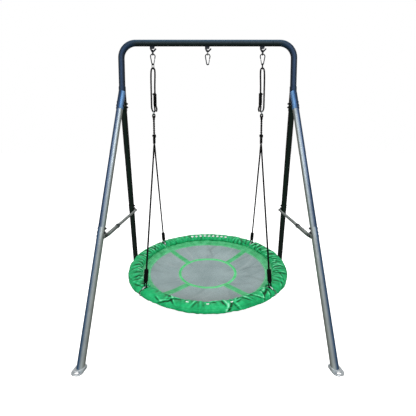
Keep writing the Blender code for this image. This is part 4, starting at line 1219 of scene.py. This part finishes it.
def build_lacing(rows, start, end):
    """Pale lacing tabs on the front cover."""
    tabs = Shape()
    length = (end - start) * RIM_R
    for x in (-0.1015, 0.0, 0.119):
        s = (2 * math.pi - math.acos(x / RIM_R) - start) * RIM_R
        i = (s - 0.0035) / (length - 0.0070) * (rows.shape[0] - 1) + np.linspace(-3.4, 3.4, 11)
        path = on_cover(rows, i, np.full(11, 23.0)) + Z * 0.0006
        tabs.rod(path, rounded_ends(path, 0.0030), 10)
    tabs.make("lacing_tabs", mat_white, "saucer")


# ---------------------------------------------------------------- light and floor

FLOOR = 40


def build_studio():
    """A white room: soft light from the front, a plain white surround and a pale floor."""
    world = bpy.data.worlds.new("studio")
    bpy.context.scene.world = world
    world.use_nodes = True
    world.node_tree.nodes.clear()
    nodes = Nodes(world.node_tree)
    share = nodes.spread(nodes.part(nodes.coords("Generated"), 2), 0, 1, -1)
    greys = [(0.0, 0.30), (0.45, 0.45), (0.56, 0.80), (1.0, 1.0)]
    tone = nodes.ramp(share, [(at, (grey, grey, grey, 1)) for at, grey in greys])
    soft = nodes.node("ShaderNodeBackground", {"Color": tone, "Strength": 0.55})
    plain = nodes.node("ShaderNodeBackground", {"Color": (1, 1, 1, 1)})
    seen = nodes.node("ShaderNodeLightPath").outputs["Is Camera Ray"]
    pick = nodes.node("ShaderNodeMixShader", {0: seen, 1: soft.outputs[0], 2: plain.outputs[0]})
    nodes.node("ShaderNodeOutputWorld", {0: pick.outputs[0]})

    for name, at, aim, size, power in (
        ("key", (1.3, -3.3, 2.7), (0, 0, 0.8), 2.4, 62),
        ("fill", (-2.0, -3.0, 2.0), (0, 0, 0.8), 2.6, 40),
        ("top", (0, 0.3, 4.2), (0, 0, 0.6), 2.6, 22),
        ("back", (0, 3.4, 2.8), (0, 0, 0.9), 2.6, 16),
    ):
        lamp = bpy.data.lights.new(name, "AREA")
        lamp.shape = "SQUARE"
        lamp.size = size
        lamp.energy = power
        obj = place(name, lamp)
        obj.location = at
        way = np.array(aim, float) - np.array(at, float)
        tilt = math.atan2(math.hypot(way[0], way[1]), -way[2])
        obj.rotation_euler = (tilt, 0, math.atan2(way[0], -way[1]) + math.pi)
        obj.visible_camera = False

    p = Paint("pale_floor", 0.9)
    p.patchy((3, 2), "F6F7F7", "FAFAFA", 0.4, 0.6)
    p.shader.inputs["Emission Color"].default_value = (1, 1, 1, 1)
    p.shader.inputs["Emission Strength"].default_value = 0.75
    mesh = bpy.data.meshes.new("floor")
    corners = [(-FLOOR, -FLOOR), (FLOOR, -FLOOR), (FLOOR, FLOOR), (-FLOOR, FLOOR)]
    mesh.from_pydata([(x, y, -0.0005) for x, y in corners], [], [(0, 1, 2, 3)])
    mesh.materials.append(p.mat)
    floor = place("floor", mesh)
    floor.visible_diffuse = False
    floor.visible_glossy = False
    bpy.context.scene.view_settings.view_transform = "Standard"
    bpy.context.scene.view_settings.look = "None"


build_studio()
build_stand()
build_hanger(-HANG_X, 1, "left", "rope_left", "rope_left")
build_hanger(0, 1, "middle", "ring_middle", "hook_middle")
build_hanger(HANG_X, -1, "right", "rope_right", "rope_right")
for rope_side, rope_word in SIDES:
    for build in (build_link, build_loop, build_knot, build_eye_ring, build_neck):
        build(rope_side, rope_word)
    for rope_end, end_word in ENDS:
        build_strand(rope_side, rope_word, rope_end, end_word)
build_rim()
build_mat()
build_covers()
